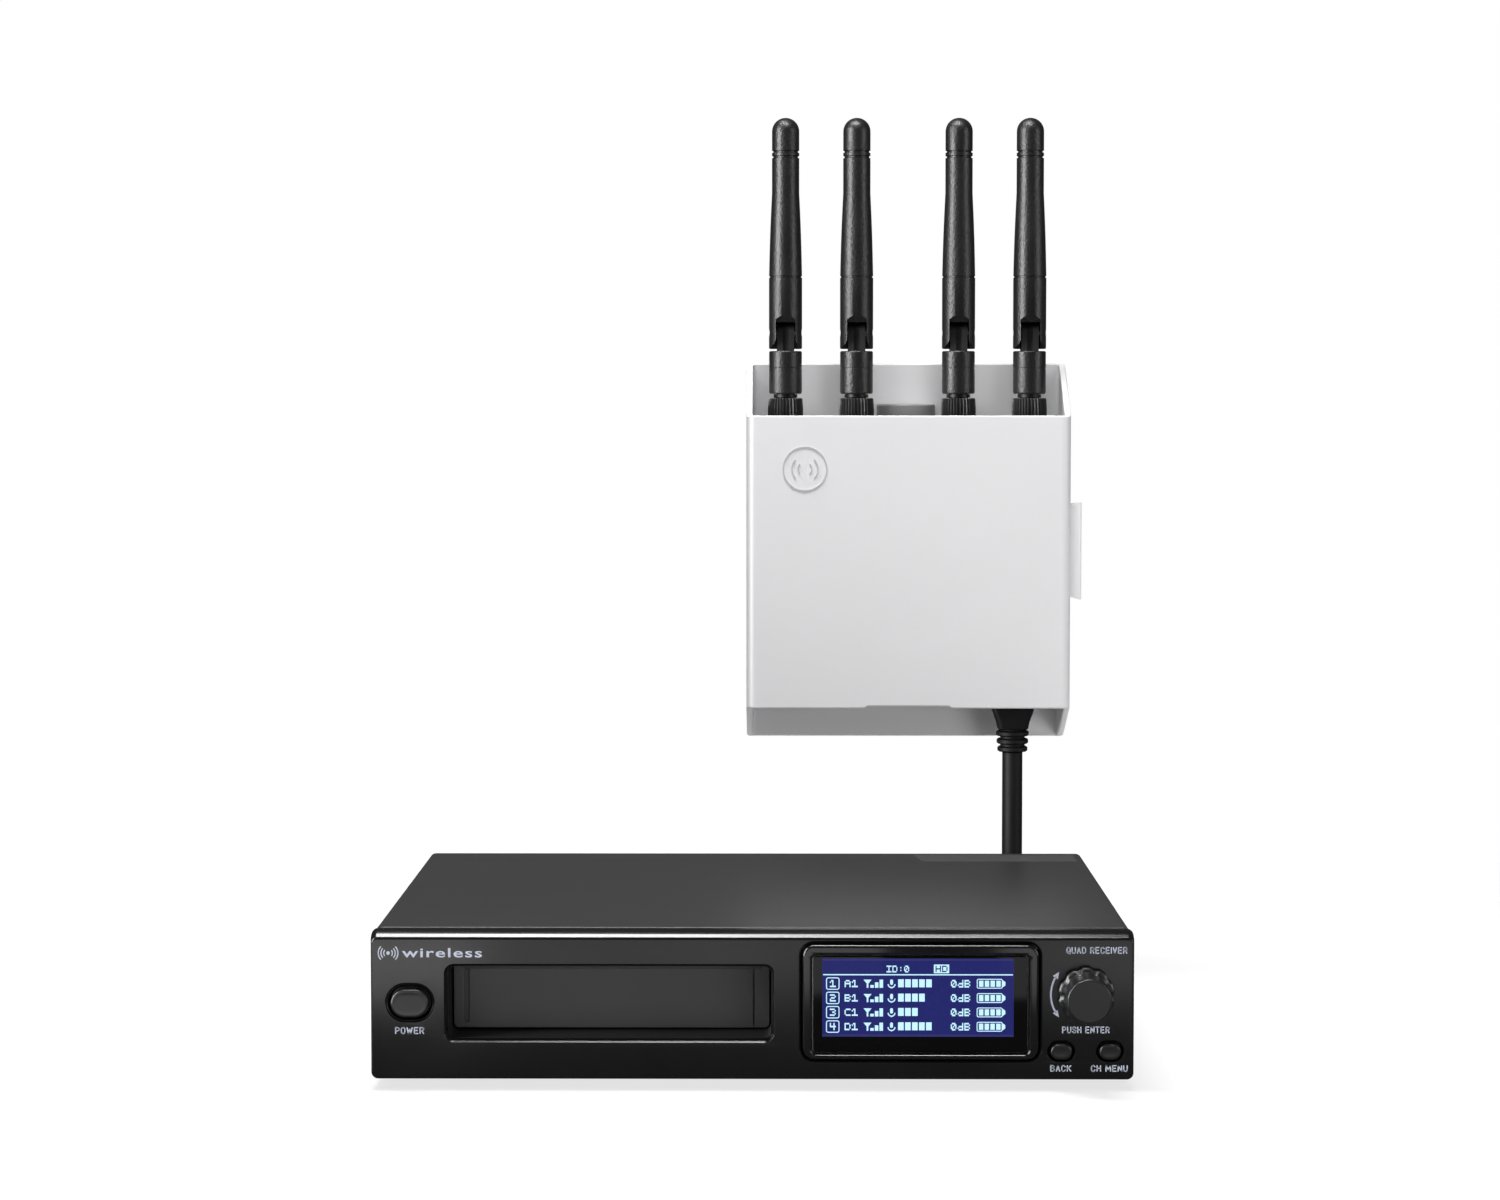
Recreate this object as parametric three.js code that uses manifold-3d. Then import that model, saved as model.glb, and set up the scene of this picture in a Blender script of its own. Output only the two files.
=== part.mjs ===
// Half-rack wireless receiver with its remote antenna unit, as a three.js scene graph.
// The receiver stands on four feet. The antenna unit hangs behind it in a wall bracket,
// and one link cable joins the two, with its spare length coiled on the table.
//
// Millimetres. x runs to the right, y from the front panel to the back, z up from the table.
// Parts are laid out with y = 0 on the face of the front panel, and the last group moves
// the whole unit so that its box is centred on the origin.
import * as THREE from "three";
import { mergeVertices } from "three/addons/utils/BufferGeometryUtils.js";
import Module from "manifold-3d";

const wasm = await Module();
wasm.setup();

// ---------------------------------------------------------------- driving dimensions

const GAP = 0.3; // between neighbouring pieces
const CUT = 1; // how far a cutting tool runs past the face that it cuts

const FOOT = { height: 2.7, radius: 7, x: 84, front: 24, back: 146 };
const PANEL = { half: 105, bottom: 3, top: 44.4, plate: 2.5, depth: 7.4, wall: 2 };
const COVER = { half: 104.6, top: 44.2, front: 7.7, back: 166, sheet: 1.2, corner: 2 };
const BASE = { half: 103.1, bottom: 3, sheet: 1.2, wallTop: 30, back: 165.8 };
const REAR = { half: 101.6, bottom: 4.5, top: 42.7, front: 164.6, back: 165.8 };

const BAY = { left: -83.8, right: 5.2, bottom: 14.25, top: 34.2, corner: 1.8 };
const LINER = { wall: 1.2, front: 2.8, back: 105 };
const FLAP = { left: -83.4, right: 4.8, bottom: 14.75, face: 15, thickness: 1.4 };
const FLAP_HINGE = { y: 16, z: 32.4, barrel: 1.45, pin: 0.8 };

const BEZEL = { left: 13.8, right: 78.7, bottom: 8.8, top: 40.6, corner: 3.2, proud: 0.9 };
const WINDOW = { left: 16.5, right: 75.9, bottom: 10.4, top: 37.6, corner: 1.2 };
const LCD = { left: 15, right: 77.5, bottom: 9.5, top: 39.9, front: 3.2, back: 8.5 };

const POWER = { x: -94.1, z: 24.3, width: 10.4, height: 7.7, proud: 1.4, travel: 1.5 };
const KEY = { width: 5.9, height: 4.2, z: 11.1, proud: 1.2, travel: 1 };
const BACK_KEY_X = 84.9;
const MENU_KEY_X = 98.3;
const SWITCH_TIP = 9.5; // y of the tip of each switch behind its button
const BOARD = { front: 12.3, back: 13.9 };

const DIAL = { x: 91.6, z: 26.8, grip: 6.1, skirt: 7.7, face: -12 };
const DIAL_LOBES = 10;
const SHAFT_RADIUS = 2.1;

const XLR = { radius: 10.5, flange: 11.5, z: 24, firstX: -88.5, pitch: 24.5, count: 4 };
const MIX_OUT = { x: 66, z: 26, nut: 7 };
const ANTENNA_PORT = { x: 4.9, z: 12.6 };
const LINK_PORTS = { left: 18, right: 50, firstX: 26, secondX: 42, z: 12.6 };
const DC_INLET = { x: 90, z: 27, radius: 5 };
const CORD_HOOK = { x: 92, z: 12 };

const SLEEVE = {
  left: -3,
  right: 101.2,
  front: 170.5,
  back: 200.5,
  wall: 2,
  corner: 4,
  frontBottom: 90.5,
  frontTop: 184.6,
  backBottom: 79,
  backTop: 201.5,
  slopeEnd: 198.5,
};
const SLEEVE_X = (SLEEVE.left + SLEEVE.right) / 2;
const NOTCH = { half: 14, depth: 0.7, slant: 0.8 };
const TAB = { bottom: 125.7, top: 156, reach: 104.8, thickness: 0.8 };
const CLIP = { half: 9.6, bottom: 181.6, top: 188.3, depth: 9 };

const MODULE = { half: 44, front: 176, back: 194.5, bottom: 91.5, top: 181, wall: 1 };
const MODULE_SPLIT = 185.25;
const JACK_X = 83.6;
const ANTENNA_Y = 185;
const ANTENNA_OFFSETS = [-39.5, -16.5, 16.5, 39.5]; // across, from the module's middle
const ANTENNA = {
  nutRadius: 5.75,
  nutBottom: 182,
  nutTop: 190.6,
  socketRadius: 3.1,
  socketTop: 187.5,
  neckBottom: 188,
  collarRadius: 5.3,
  collarBottom: 191.8,
  collarTop: 205.4,
  pinZ: 211.3,
  pinRadius: 1,
  tongueHalf: 2.95,
  tongueRadius: 3,
  slotHalf: 3.25,
  slotBack: 4.1,
  slotTop: 214.7,
  slotLip: 219,
  cheekSwing: 5.6,
  bladeBottom: 206.1,
  bladeRadius: 5.35,
  seam: 229.4,
  taperTop: 256.3,
  tipRadius: 4.4,
  ringBottom: 267.8,
  ringTop: 270.1,
  top: 280.5,
};

const PLUG = { boot: 16.2, collar: 2.2, taper: 8.7, wide: 13.5, narrow: 9.8, ring: 5.35 };
const CORD_RADIUS = 3.3;
const TURN_SPACING = 6.8; // between neighbouring turns of the coil
const COIL = { x: 44.25, y: 220, middle: 36, lowest: 4.8 };
const TIE = { half: 6, thickness: 0.9 };

// The cable from the antenna unit's plug down to the coil, along its middle.
const CORD_DROP = [
  [83.6, 185, 75],
  [83.6, 185, 68],
  [83.6, 185, 60],
  [83.6, 185, 51],
  [83.6, 185, 42],
  [83.6, 185, 32.8],
  [83.6, 185.95, 25.55],
  [83.6, 188.75, 18.8],
  [83.6, 193.2, 13],
  [83.6, 199, 8.55],
  [83.6, 205.75, 5.75],
  [83.6, 213, 4.8],
  [83.6, 220, 4.8],
];
// The cable from the coil to the plug in the receiver's back.
const CORD_LEAD = [
  [4.9, 220, 11.6],
  [4.9, 213, 11.7],
  [4.9, 206, 12],
  [4.9, 199, 12.35],
  [4.9, 191, 12.58],
  [4.9, 182.9, 12.6],
];

// ---------------------------------------------------------------- materials

function finish(color, roughness, metalness = 0) {
  return new THREE.MeshStandardMaterial({ color, roughness, metalness });
}

const BLACK_PAINT = finish(0x26272a, 0.5, 0.2);
const BLACK_PLASTIC = finish(0x1c1c1d, 0.55);
const KEY_PLASTIC = finish(0x2c2c2e, 0.45);
const GLOSS_BLACK = finish(0x0a0a0c, 0.12);
const LCD_BLUE = finish(0x2c2f86, 0.3);
const WHITE_PAINT = finish(0xdcdcdc, 0.45);
const STEEL = finish(0xb9bbbe, 0.35, 0.9);
const BRASS = finish(0xc9a44c, 0.35, 0.9);
const BOARD_GREEN = finish(0x1d5a36, 0.6);
const RUBBER = finish(0x161616, 0.9);
const CABLE_BLACK = finish(0x17171a, 0.6);
const TIE_FABRIC = finish(0x1b1b1d, 0.95);

// ---------------------------------------------------------------- shapes

// A closed outline from corners given as [x, y] or as [x, y, fillet radius].
function outline(corners, arcSteps = 3) {
  const points = [];
  const add = (p) => {
    const last = points[points.length - 1];
    if (!last || last.distanceTo(p) > 1e-3) points.push(p);
  };
  corners.forEach(([x, y, radius = 0], i) => {
    const here = new THREE.Vector2(x, y);
    if (!radius) return add(here);
    const [px, py] = corners[(i + corners.length - 1) % corners.length];
    const [nx, ny] = corners[(i + 1) % corners.length];
    const before = new THREE.Vector2(px, py).sub(here).normalize();
    const after = new THREE.Vector2(nx, ny).sub(here).normalize();
    const half = Math.acos(before.dot(after)) / 2;
    const centre = before.clone().add(after).setLength(radius / Math.sin(half)).add(here);
    const start = before.setLength(radius / Math.tan(half)).add(here).sub(centre);
    const end = after.setLength(radius / Math.tan(half)).add(here).sub(centre);
    const sweep = Math.atan2(start.cross(end), start.dot(end));
    for (let k = 0; k <= arcSteps; k++) {
      const angle = start.angle() + (sweep * k) / arcSteps;
      add(new THREE.Vector2(Math.cos(angle), Math.sin(angle)).multiplyScalar(radius).add(centre));
    }
  });
  if (points[0].distanceTo(points[points.length - 1]) < 1e-3) points.pop();
  return new THREE.Shape(points);
}

function rectangle(left, right, low, high, radius = 0, arcSteps = 3) {
  const corners = [
    [left, low, radius],
    [right, low, radius],
    [right, high, radius],
    [left, high, radius],
  ];
  return outline(corners, arcSteps);
}

function centredRectangle(x, y, width, height, radius = 0, arcSteps = 3) {
  const [w, h] = [width / 2, height / 2];
  return rectangle(x - w, x + w, y - h, y + h, radius, arcSteps);
}

// A rectangle whose short sides are half circles.
function obround(x, y, width, height) {
  return centredRectangle(x, y, width, height, height / 2 - 1e-3, 4);
}

function circle(x, y, radius, steps = 20) {
  const points = [];
  for (let k = 0; k < steps; k++) {
    const angle = (2 * Math.PI * (k + 0.5)) / steps;
    points.push(new THREE.Vector2(x + radius * Math.cos(angle), y + radius * Math.sin(angle)));
  }
  return new THREE.Shape(points);
}

function toSolid(geometry) {
  const bare = geometry.clone();
  bare.deleteAttribute("normal");
  bare.deleteAttribute("uv");
  const merged = mergeVertices(bare, 1e-4);
  const mesh = new wasm.Mesh({
    numProp: 3,
    vertProperties: merged.attributes.position.array,
    triVerts: new Uint32Array(merged.index.array),
  });
  return new wasm.Manifold(mesh);
}

function toGeometry(solid) {
  const { vertProperties, triVerts } = solid.getMesh();
  const geometry = new THREE.BufferGeometry();
  geometry.setAttribute("position", new THREE.BufferAttribute(vertProperties, 3));
  geometry.setIndex(new THREE.BufferAttribute(triVerts, 1));
  geometry.computeVertexNormals();
  return geometry;
}

function extruded(shape, from, to) {
  const settings = { depth: to - from, bevelEnabled: false, steps: 1 };
  return new THREE.ExtrudeGeometry(shape, settings).translate(0, 0, from);
}

const vector = (x, y, z) => new THREE.Vector3(x, y, z);
const TO_X = new THREE.Matrix4().makeBasis(vector(0, 1, 0), vector(0, 0, 1), vector(1, 0, 0));
const TO_Y = new THREE.Matrix4().makeBasis(vector(1, 0, 0), vector(0, 0, 1), vector(0, -1, 0));

// Solids extruded along an axis. alongX takes a (y, z) outline, alongY an (x, z) outline
// and alongZ an (x, y) outline.
function alongX(shape, from, to) {
  return toSolid(extruded(shape, from, to).applyMatrix4(TO_X));
}

function alongY(shape, from, to) {
  return toSolid(extruded(shape, -to, -from).applyMatrix4(TO_Y));
}

function alongZ(shape, from, to) {
  return toSolid(extruded(shape, from, to));
}

function box(x, y, z) {
  return alongZ(rectangle(x[0], x[1], y[0], y[1]), z[0], z[1]);
}

// A solid of revolution about the vertical line through (x, y), from [radius, z] points
// that run from the bottom of the axis to its top.
function turned(profile, x, y, steps = 20) {
  const points = profile.map(([radius, height]) => new THREE.Vector2(radius, height));
  const geometry = new THREE.LatheGeometry(points, steps).rotateX(Math.PI / 2);
  return toSolid(geometry.translate(x, y, 0));
}

function cut(body, ...tools) {
  return tools.reduce((left, tool) => left.subtract(tool), body);
}

function join(body, ...others) {
  return others.reduce((whole, other) => whole.add(other), body);
}

const unit = new THREE.Group();

function place(name, solid, material) {
  const mesh = new THREE.Mesh(toGeometry(solid), material);
  mesh.name = name;
  unit.add(mesh);
}

// ---------------------------------------------------------------- receiver: casing

function frontPanel() {
  const { half, bottom, top, plate, depth, wall } = PANEL;
  const block = alongY(rectangle(-half, half, bottom, top, 1.6), 0, depth);
  // The top edge rolls over towards the front.
  const roll = outline([
    [-CUT, top - 2.6],
    [0, top - 2.6],
    [0.3, top - 1.9],
    [1.2, top - 1.15],
    [2.4, top - 0.48],
    [4.4, top],
    [4.4, top + CUT],
    [-CUT, top + CUT],
  ]);
  const outer = cut(block, alongX(roll, -half - CUT, half + CUT));
  const hollowShape = rectangle(-half + wall, half - wall, bottom + wall, top - wall, 0.8);
  const hollow = alongY(hollowShape, plate, depth + CUT);
  const through = (shape) => alongY(shape, -CUT, plate + CUT);
  const recess = (shape, depthOfRecess) => alongY(shape, -CUT, depthOfRecess);
  const keyHole = (x) => obround(x, KEY.z, KEY.width + 2 * GAP, KEY.height + 2 * GAP);
  const keyDish = (x) => obround(x, KEY.z, KEY.width + 1.5, KEY.height + 1.5);
  return cut(
    outer,
    hollow,
    through(rectangle(BAY.left, BAY.right, BAY.bottom, BAY.top, BAY.corner)),
    through(
      rectangle(
        BEZEL.left - GAP,
        BEZEL.right + GAP,
        BEZEL.bottom - GAP,
        BEZEL.top + GAP,
        BEZEL.corner,
      ),
    ),
    through(circle(DIAL.x, DIAL.z, 4)),
    through(obround(POWER.x, POWER.z, POWER.width + 2 * GAP, POWER.height + 2 * GAP)),
    recess(obround(POWER.x, POWER.z, POWER.width + 2.9, POWER.height + 2.7), 0.6),
    through(keyHole(BACK_KEY_X)),
    recess(keyDish(BACK_KEY_X), 0.5),
    through(keyHole(MENU_KEY_X)),
    recess(keyDish(MENU_KEY_X), 0.5),
  );
}

function topCover() {
  const { half, top, front, back, sheet, corner } = COVER;
  const bottom = BASE.bottom + BASE.sheet + GAP;
  const inner = half - sheet;
  const section = outline([
    [-half, bottom],
    [-inner, bottom],
    [-inner, top - sheet, corner - sheet],
    [inner, top - sheet, corner - sheet],
    [inner, bottom],
    [half, bottom],
    [half, top, corner],
    [-half, top, corner],
  ]);
  return alongY(section, front, back);
}

function chassisBase() {
  const { half, bottom, sheet, wallTop, back } = BASE;
  const inner = half - sheet;
  const section = outline([
    [-COVER.half, bottom],
    [COVER.half, bottom],
    [COVER.half, bottom + sheet],
    [half, bottom + sheet],
    [half, wallTop],
    [inner, wallTop],
    [inner, bottom + sheet],
    [-inner, bottom + sheet],
    [-inner, wallTop],
    [-half, wallTop],
    [-half, bottom + sheet],
    [-COVER.half, bottom + sheet],
  ]);
  return alongY(section, COVER.front, back);
}

const xlrX = (i) => XLR.firstX + i * XLR.pitch;

function rearPanel() {
  const { half, bottom, top, front, back } = REAR;
  const hole = (shape) => alongY(shape, front - CUT, back + CUT);
  const holes = [
    hole(circle(MIX_OUT.x, MIX_OUT.z, 5)),
    hole(circle(DC_INLET.x, DC_INLET.z, DC_INLET.radius + GAP)),
    hole(centredRectangle(ANTENNA_PORT.x, ANTENNA_PORT.z, 16, 14)),
    hole(rectangle(LINK_PORTS.left, LINK_PORTS.right, LINK_PORTS.z - 7, LINK_PORTS.z + 7)),
  ];
  for (let i = 0; i < XLR.count; i++) holes.push(hole(circle(xlrX(i), XLR.z, XLR.radius + GAP)));
  return cut(alongY(rectangle(-half, half, bottom, top), front, back), ...holes);
}

place("front_panel", frontPanel(), BLACK_PAINT);
place("top_cover", topCover(), BLACK_PAINT);
place("chassis_base", chassisBase(), BLACK_PAINT);
place("rear_panel", rearPanel(), BLACK_PAINT);

[
  [-FOOT.x, FOOT.front],
  [FOOT.x, FOOT.front],
  [-FOOT.x, FOOT.back],
  [FOOT.x, FOOT.back],
].forEach(([x, y], i) => {
  const profile = [
    [0, 0],
    [FOOT.radius - 1, 0],
    [FOOT.radius, FOOT.height],
    [0, FOOT.height],
  ];
  place(`foot_${i + 1}`, turned(profile, x, y, 16), RUBBER);
});

// ---------------------------------------------------------------- receiver: module bay

function bayLiner() {
  const { wall, front, back } = LINER;
  const { left, right, bottom, top, corner } = BAY;
  const outerShape = rectangle(left - wall, right + wall, bottom - wall, top + wall, corner);
  const outer = alongY(outerShape, front, back);
  const tunnel = alongY(rectangle(left, right, bottom, top, corner), front - CUT, back - wall);
  const dockMiddle = (left + right) / 2;
  const dockHole = alongY(centredRectangle(dockMiddle, 22, 26, 12), back - 2 * wall, back + CUT);
  const pinHole = alongX(
    circle(FLAP_HINGE.y, FLAP_HINGE.z, FLAP_HINGE.pin + GAP, 10),
    left - wall - CUT,
    right + wall + CUT,
  );
  return cut(outer, tunnel, dockHole, pinHole);
}

function bayFlap() {
  const { left, right, bottom, face, thickness } = FLAP;
  const { y, z, barrel, pin } = FLAP_HINGE;
  const plate = alongY(rectangle(left, right, bottom, z, BAY.corner), face, face + thickness);
  return cut(
    join(plate, alongX(circle(y, z, barrel, 12), left + BAY.corner, right - BAY.corner)),
    alongX(circle(y, z, pin + GAP, 10), left - CUT, right + CUT),
  );
}

place("bay_liner", bayLiner(), BLACK_PLASTIC);
place("bay_flap", bayFlap(), BLACK_PAINT);
place(
  "flap_hinge_pin",
  alongX(circle(FLAP_HINGE.y, FLAP_HINGE.z, FLAP_HINGE.pin, 10), BAY.left - 0.9, BAY.right + 0.9),
  STEEL,
);

// ---------------------------------------------------------------- receiver: display

function displayBezel() {
  const { left, right, bottom, top, corner, proud } = BEZEL;
  return cut(
    alongY(rectangle(left, right, bottom, top, corner), -proud, 2.2),
    alongY(
      rectangle(WINDOW.left, WINDOW.right, WINDOW.bottom, WINDOW.top, WINDOW.corner),
      -proud - CUT,
      2.2 + CUT,
    ),
  );
}

place("display_bezel", displayBezel(), BLACK_PLASTIC);
place(
  "display_window",
  alongY(
    rectangle(
      WINDOW.left + GAP,
      WINDOW.right - GAP,
      WINDOW.bottom + GAP,
      WINDOW.top - GAP,
      WINDOW.corner,
    ),
    0.6,
    1.8,
  ),
  GLOSS_BLACK,
);
place(
  "lcd_module",
  alongY(rectangle(LCD.left, LCD.right, LCD.bottom, LCD.top), LCD.front, LCD.back),
  LCD_BLUE,
);

// ---------------------------------------------------------------- receiver: controls

// A push button: its cap, the flange behind the panel that stops it, and its stem.
function pushButton(x, z, size) {
  const flangeFront = PANEL.plate + GAP;
  const flangeBack = flangeFront + 1;
  const cap = alongY(obround(x, z, size.width, size.height), -size.proud, flangeFront + 0.5);
  const flange = alongY(
    obround(x, z, size.width + 2.4, size.height + 2.4),
    flangeFront,
    flangeBack,
  );
  const stem = alongY(circle(x, z, 1.4, 10), flangeBack - 0.5, SWITCH_TIP - GAP - size.travel);
  return join(cap, flange, stem);
}

// A key switch soldered to the front of a board.
function keySwitch(x, z, width) {
  const body = alongY(centredRectangle(x, z, width, width), SWITCH_TIP + 0.6, BOARD.front + 0.5);
  return join(body, alongY(circle(x, z, 1.6, 10), SWITCH_TIP, SWITCH_TIP + 1));
}

function frontBoard() {
  const plate = alongY(rectangle(12, 101, 7, 40), BOARD.front, BOARD.back);
  return join(plate, keySwitch(BACK_KEY_X, KEY.z, 6), keySwitch(MENU_KEY_X, KEY.z, 5));
}

function powerSwitch() {
  const plate = alongY(rectangle(-100, -87, 14, 34), BOARD.front, BOARD.back);
  return join(plate, keySwitch(POWER.x, POWER.z, 7));
}

place("power_button", pushButton(POWER.x, POWER.z, POWER), KEY_PLASTIC);
place("back_button", pushButton(BACK_KEY_X, KEY.z, KEY), KEY_PLASTIC);
place("ch_menu_button", pushButton(MENU_KEY_X, KEY.z, KEY), KEY_PLASTIC);
place("front_board", frontBoard(), BOARD_GREEN);
place("power_switch", powerSwitch(), BOARD_GREEN);

const PLUNGER = { front: 9.3, back: 10.8, radius: 4 };

// The encoder's housing: a square body behind the panel with a bushing through it.
function encoderBody() {
  const bore = SHAFT_RADIUS + GAP;
  const back = BOARD.front - GAP;
  return cut(
    join(
      alongY(centredRectangle(DIAL.x, DIAL.z, 12, 12, 0.5, 1), 5, back),
      alongY(circle(DIAL.x, DIAL.z, 3.5), -1.2, 5.5),
    ),
    alongY(circle(DIAL.x, DIAL.z, bore), -1.2 - CUT, back + CUT),
    alongY(circle(DIAL.x, DIAL.z, PLUNGER.radius + GAP), PLUNGER.front - 0.7, back + CUT),
  );
}

// The dial: a ribbed grip in front of a wider skirt with shallow lobes, on the shaft.
function dialKnob() {
  const skirtFront = -3;
  const skirtBack = -1;
  const lobed = (radius, depth, count, steps) => {
    const points = [];
    for (let k = 0; k < steps; k++) {
      const angle = (2 * Math.PI * k) / steps;
      const r = radius - depth * (0.5 + 0.5 * Math.cos(count * angle));
      points.push(
        new THREE.Vector2(DIAL.x + r * Math.sin(angle), DIAL.z + r * Math.cos(angle)),
      );
    }
    return new THREE.Shape(points);
  };
  const skirt = alongY(lobed(DIAL.skirt, 0.5, DIAL_LOBES, 60), skirtFront, skirtBack);
  const grip = alongY(circle(DIAL.x, DIAL.z, DIAL.grip, 36), DIAL.face, skirtFront + 0.5);
  const shaftBore = alongY(circle(DIAL.x, DIAL.z, SHAFT_RADIUS + GAP), -9.7, skirtBack + CUT);
  const bushingBore = alongY(circle(DIAL.x, DIAL.z, 3.9), -2.6, skirtBack + CUT);
  return cut(join(skirt, grip), shaftBore, bushingBore);
}

place("encoder_body", encoderBody(), STEEL);
place(
  "encoder_plunger",
  alongY(circle(DIAL.x, DIAL.z, PLUNGER.radius), PLUNGER.front, PLUNGER.back),
  BLACK_PLASTIC,
);
place(
  "encoder_shaft",
  alongY(circle(DIAL.x, DIAL.z, SHAFT_RADIUS, 16), -9.4, PLUNGER.front - GAP),
  STEEL,
);
place("dial_knob", dialKnob(), BLACK_PLASTIC);

// ---------------------------------------------------------------- receiver: main board

// The main board under the bay, with the docking connector that stands behind the bay.
function mainBoard() {
  const middle = (BAY.left + BAY.right) / 2;
  const connector = box([middle - 12, middle + 12], [LINER.back + 1, LINER.back + 9], [8, 27]);
  const nose = alongY(centredRectangle(middle, 22, 24, 10), LINER.back - 1, LINER.back + 2);
  return join(box([-98, 98], [22, 145], [7.5, 9.1]), connector, nose);
}

place("main_board", mainBoard(), BOARD_GREEN);

// ---------------------------------------------------------------- receiver: rear sockets

const FLANGE = { front: REAR.back + GAP, thickness: 1.2 };
const flangeBack = FLANGE.front + FLANGE.thickness;

// A male three-pin output: a round shell with a flange, an open cavity and three pins.
function xlrOutput(x) {
  const z = XLR.z;
  const cavityFloor = 154;
  const shell = join(
    alongY(circle(x, z, XLR.radius), 147, FLANGE.front + 0.5),
    alongY(circle(x, z, XLR.flange), FLANGE.front, flangeBack),
  );
  const pins = [0, 1, 2].map((k) => {
    const angle = (Math.PI / 2) * (k - 1);
    const [px, pz] = [x + 4.9 * Math.sin(angle), z - 4.9 * Math.cos(angle)];
    return alongY(circle(px, pz, 1.2, 8), cavityFloor - 1, FLANGE.front);
  });
  return join(cut(shell, alongY(circle(x, z, 8.2), cavityFloor, flangeBack + CUT)), ...pins);
}

for (let i = 0; i < XLR.count; i++) place(`xlr_out_${i + 1}`, xlrOutput(xlrX(i)), BLACK_PLASTIC);

// A quarter-inch jack: a body inside, a threaded barrel through the panel and its nut.
function mixOutJack() {
  const { x, z, nut } = MIX_OUT;
  return cut(
    join(
      alongY(centredRectangle(x, z, 15, 15), 139, REAR.front - GAP),
      alongY(circle(x, z, 4.7), REAR.front - 1, FLANGE.front + 0.5),
      alongY(circle(x, z, nut, 6), FLANGE.front, FLANGE.front + 2.6),
    ),
    alongY(circle(x, z, 3.3), 142, FLANGE.front + 3 + CUT),
  );
}

// A network-type socket, built with its mouth at z = 0 facing down.
const SOCKET = { width: 14.6, depth: 12.8, height: 13.9, mouthWidth: 12, mouthDepth: 8.6 };

function networkSocket() {
  const { width, depth, height, mouthWidth, mouthDepth } = SOCKET;
  return cut(
    alongZ(centredRectangle(0, 0, width, depth), 0, height),
    alongZ(centredRectangle(0, 0, mouthWidth, mouthDepth), -CUT, height - 2),
  );
}

// The rear panel's sockets face backwards: local down becomes +y.
const toRear = (solid, x, y, z) => solid.rotate([90, 0, 0]).translate([x, y, z]);

function linkPorts() {
  const { left, right, firstX, secondX, z } = LINK_PORTS;
  const mouth = (x) => alongY(centredRectangle(x, z, 9.8, 7.2), 154, FLANGE.front + CUT);
  const housing = rectangle(left + GAP, right - GAP, z - 7 + GAP, z + 7 - GAP);
  return cut(alongY(housing, 150, FLANGE.front), mouth(firstX), mouth(secondX));
}

function dcInlet() {
  const { x, z, radius } = DC_INLET;
  const barrel = join(
    alongY(circle(x, z, radius), 151, FLANGE.front + 0.5),
    alongY(circle(x, z, radius + 1.5, 6), FLANGE.front, FLANGE.front + 2),
  );
  const well = alongY(circle(x, z, 3), 155, FLANGE.front + 2 + CUT);
  return join(cut(barrel, well), alongY(circle(x, z, 1, 8), 154, FLANGE.front));
}

// A hook that keeps the supply cord from pulling out: a plate with an upturned arm.
function cordHook() {
  const { x, z } = CORD_HOOK;
  return join(
    box([x - 5, x + 5], [FLANGE.front, flangeBack], [z - 5.5, z + 5.5]),
    box([x - 2, x + 2], [FLANGE.front, 173], [z - 5, z - 3.4]),
    box([x - 2, x + 2], [171.6, 173], [z - 5, z + 1]),
  );
}

place("mix_out_jack", mixOutJack(), STEEL);
place(
  "antenna_port",
  toRear(networkSocket(), ANTENNA_PORT.x, FLANGE.front, ANTENNA_PORT.z),
  STEEL,
);
place("link_ports", linkPorts(), BLACK_PLASTIC);
place("dc_inlet", dcInlet(), BLACK_PLASTIC);
place("cord_hook", cordHook(), STEEL);

// ---------------------------------------------------------------- antenna unit: bracket

// The sleeve is a tube of sheet whose ends slope from the low front to the tall back.
function bracketSleeve() {
  const s = SLEEVE;
  const ring = (inset, corner) =>
    rectangle(s.left + inset, s.right - inset, s.front + inset, s.back - inset, corner);
  const tube = cut(
    alongZ(ring(0, s.corner), s.backBottom, s.backTop),
    alongZ(ring(s.wall, s.corner - s.wall), s.backBottom - CUT, s.backTop + CUT),
  );
  const sideView = outline([
    [s.front - CUT, s.frontBottom],
    [s.front + s.wall, s.frontBottom],
    [s.slopeEnd, s.backBottom],
    [s.back + CUT, s.backBottom],
    [s.back + CUT, s.backTop],
    [s.slopeEnd, s.backTop],
    [s.front + s.wall, s.frontTop],
    [s.front - CUT, s.frontTop],
  ]);
  const trimmed = tube.intersect(alongX(sideView, s.left - CUT, s.right + CUT));
  const notch = alongY(
    outline([
      [SLEEVE_X - NOTCH.half, s.frontBottom - CUT],
      [SLEEVE_X + NOTCH.half, s.frontBottom - CUT],
      [SLEEVE_X + NOTCH.half, s.frontBottom],
      [SLEEVE_X + NOTCH.half - NOTCH.slant, s.frontBottom + NOTCH.depth],
      [SLEEVE_X - NOTCH.half + NOTCH.slant, s.frontBottom + NOTCH.depth],
      [SLEEVE_X - NOTCH.half, s.frontBottom],
    ]),
    s.front - CUT,
    s.front + s.wall + CUT,
  );
  return join(cut(trimmed, notch), ...moduleRails(), sideTab(), topClip());
}

// Rails on the inside of the side walls, in front of and behind the module's edges.
function moduleRails() {
  const reach = MODULE.half - 3;
  const rails = [];
  for (const side of [-1, 1]) {
    const wall = side < 0 ? SLEEVE.left + 1 : SLEEVE.right - 1;
    const edge = SLEEVE_X + side * reach;
    const x = [Math.min(wall, edge), Math.max(wall, edge)];
    rails.push(box(x, [MODULE.front - 2.3, MODULE.front - GAP], [96, 175]));
    rails.push(box(x, [MODULE.back + GAP, MODULE.back + 2.3], [96, 175]));
  }
  return rails;
}

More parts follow.
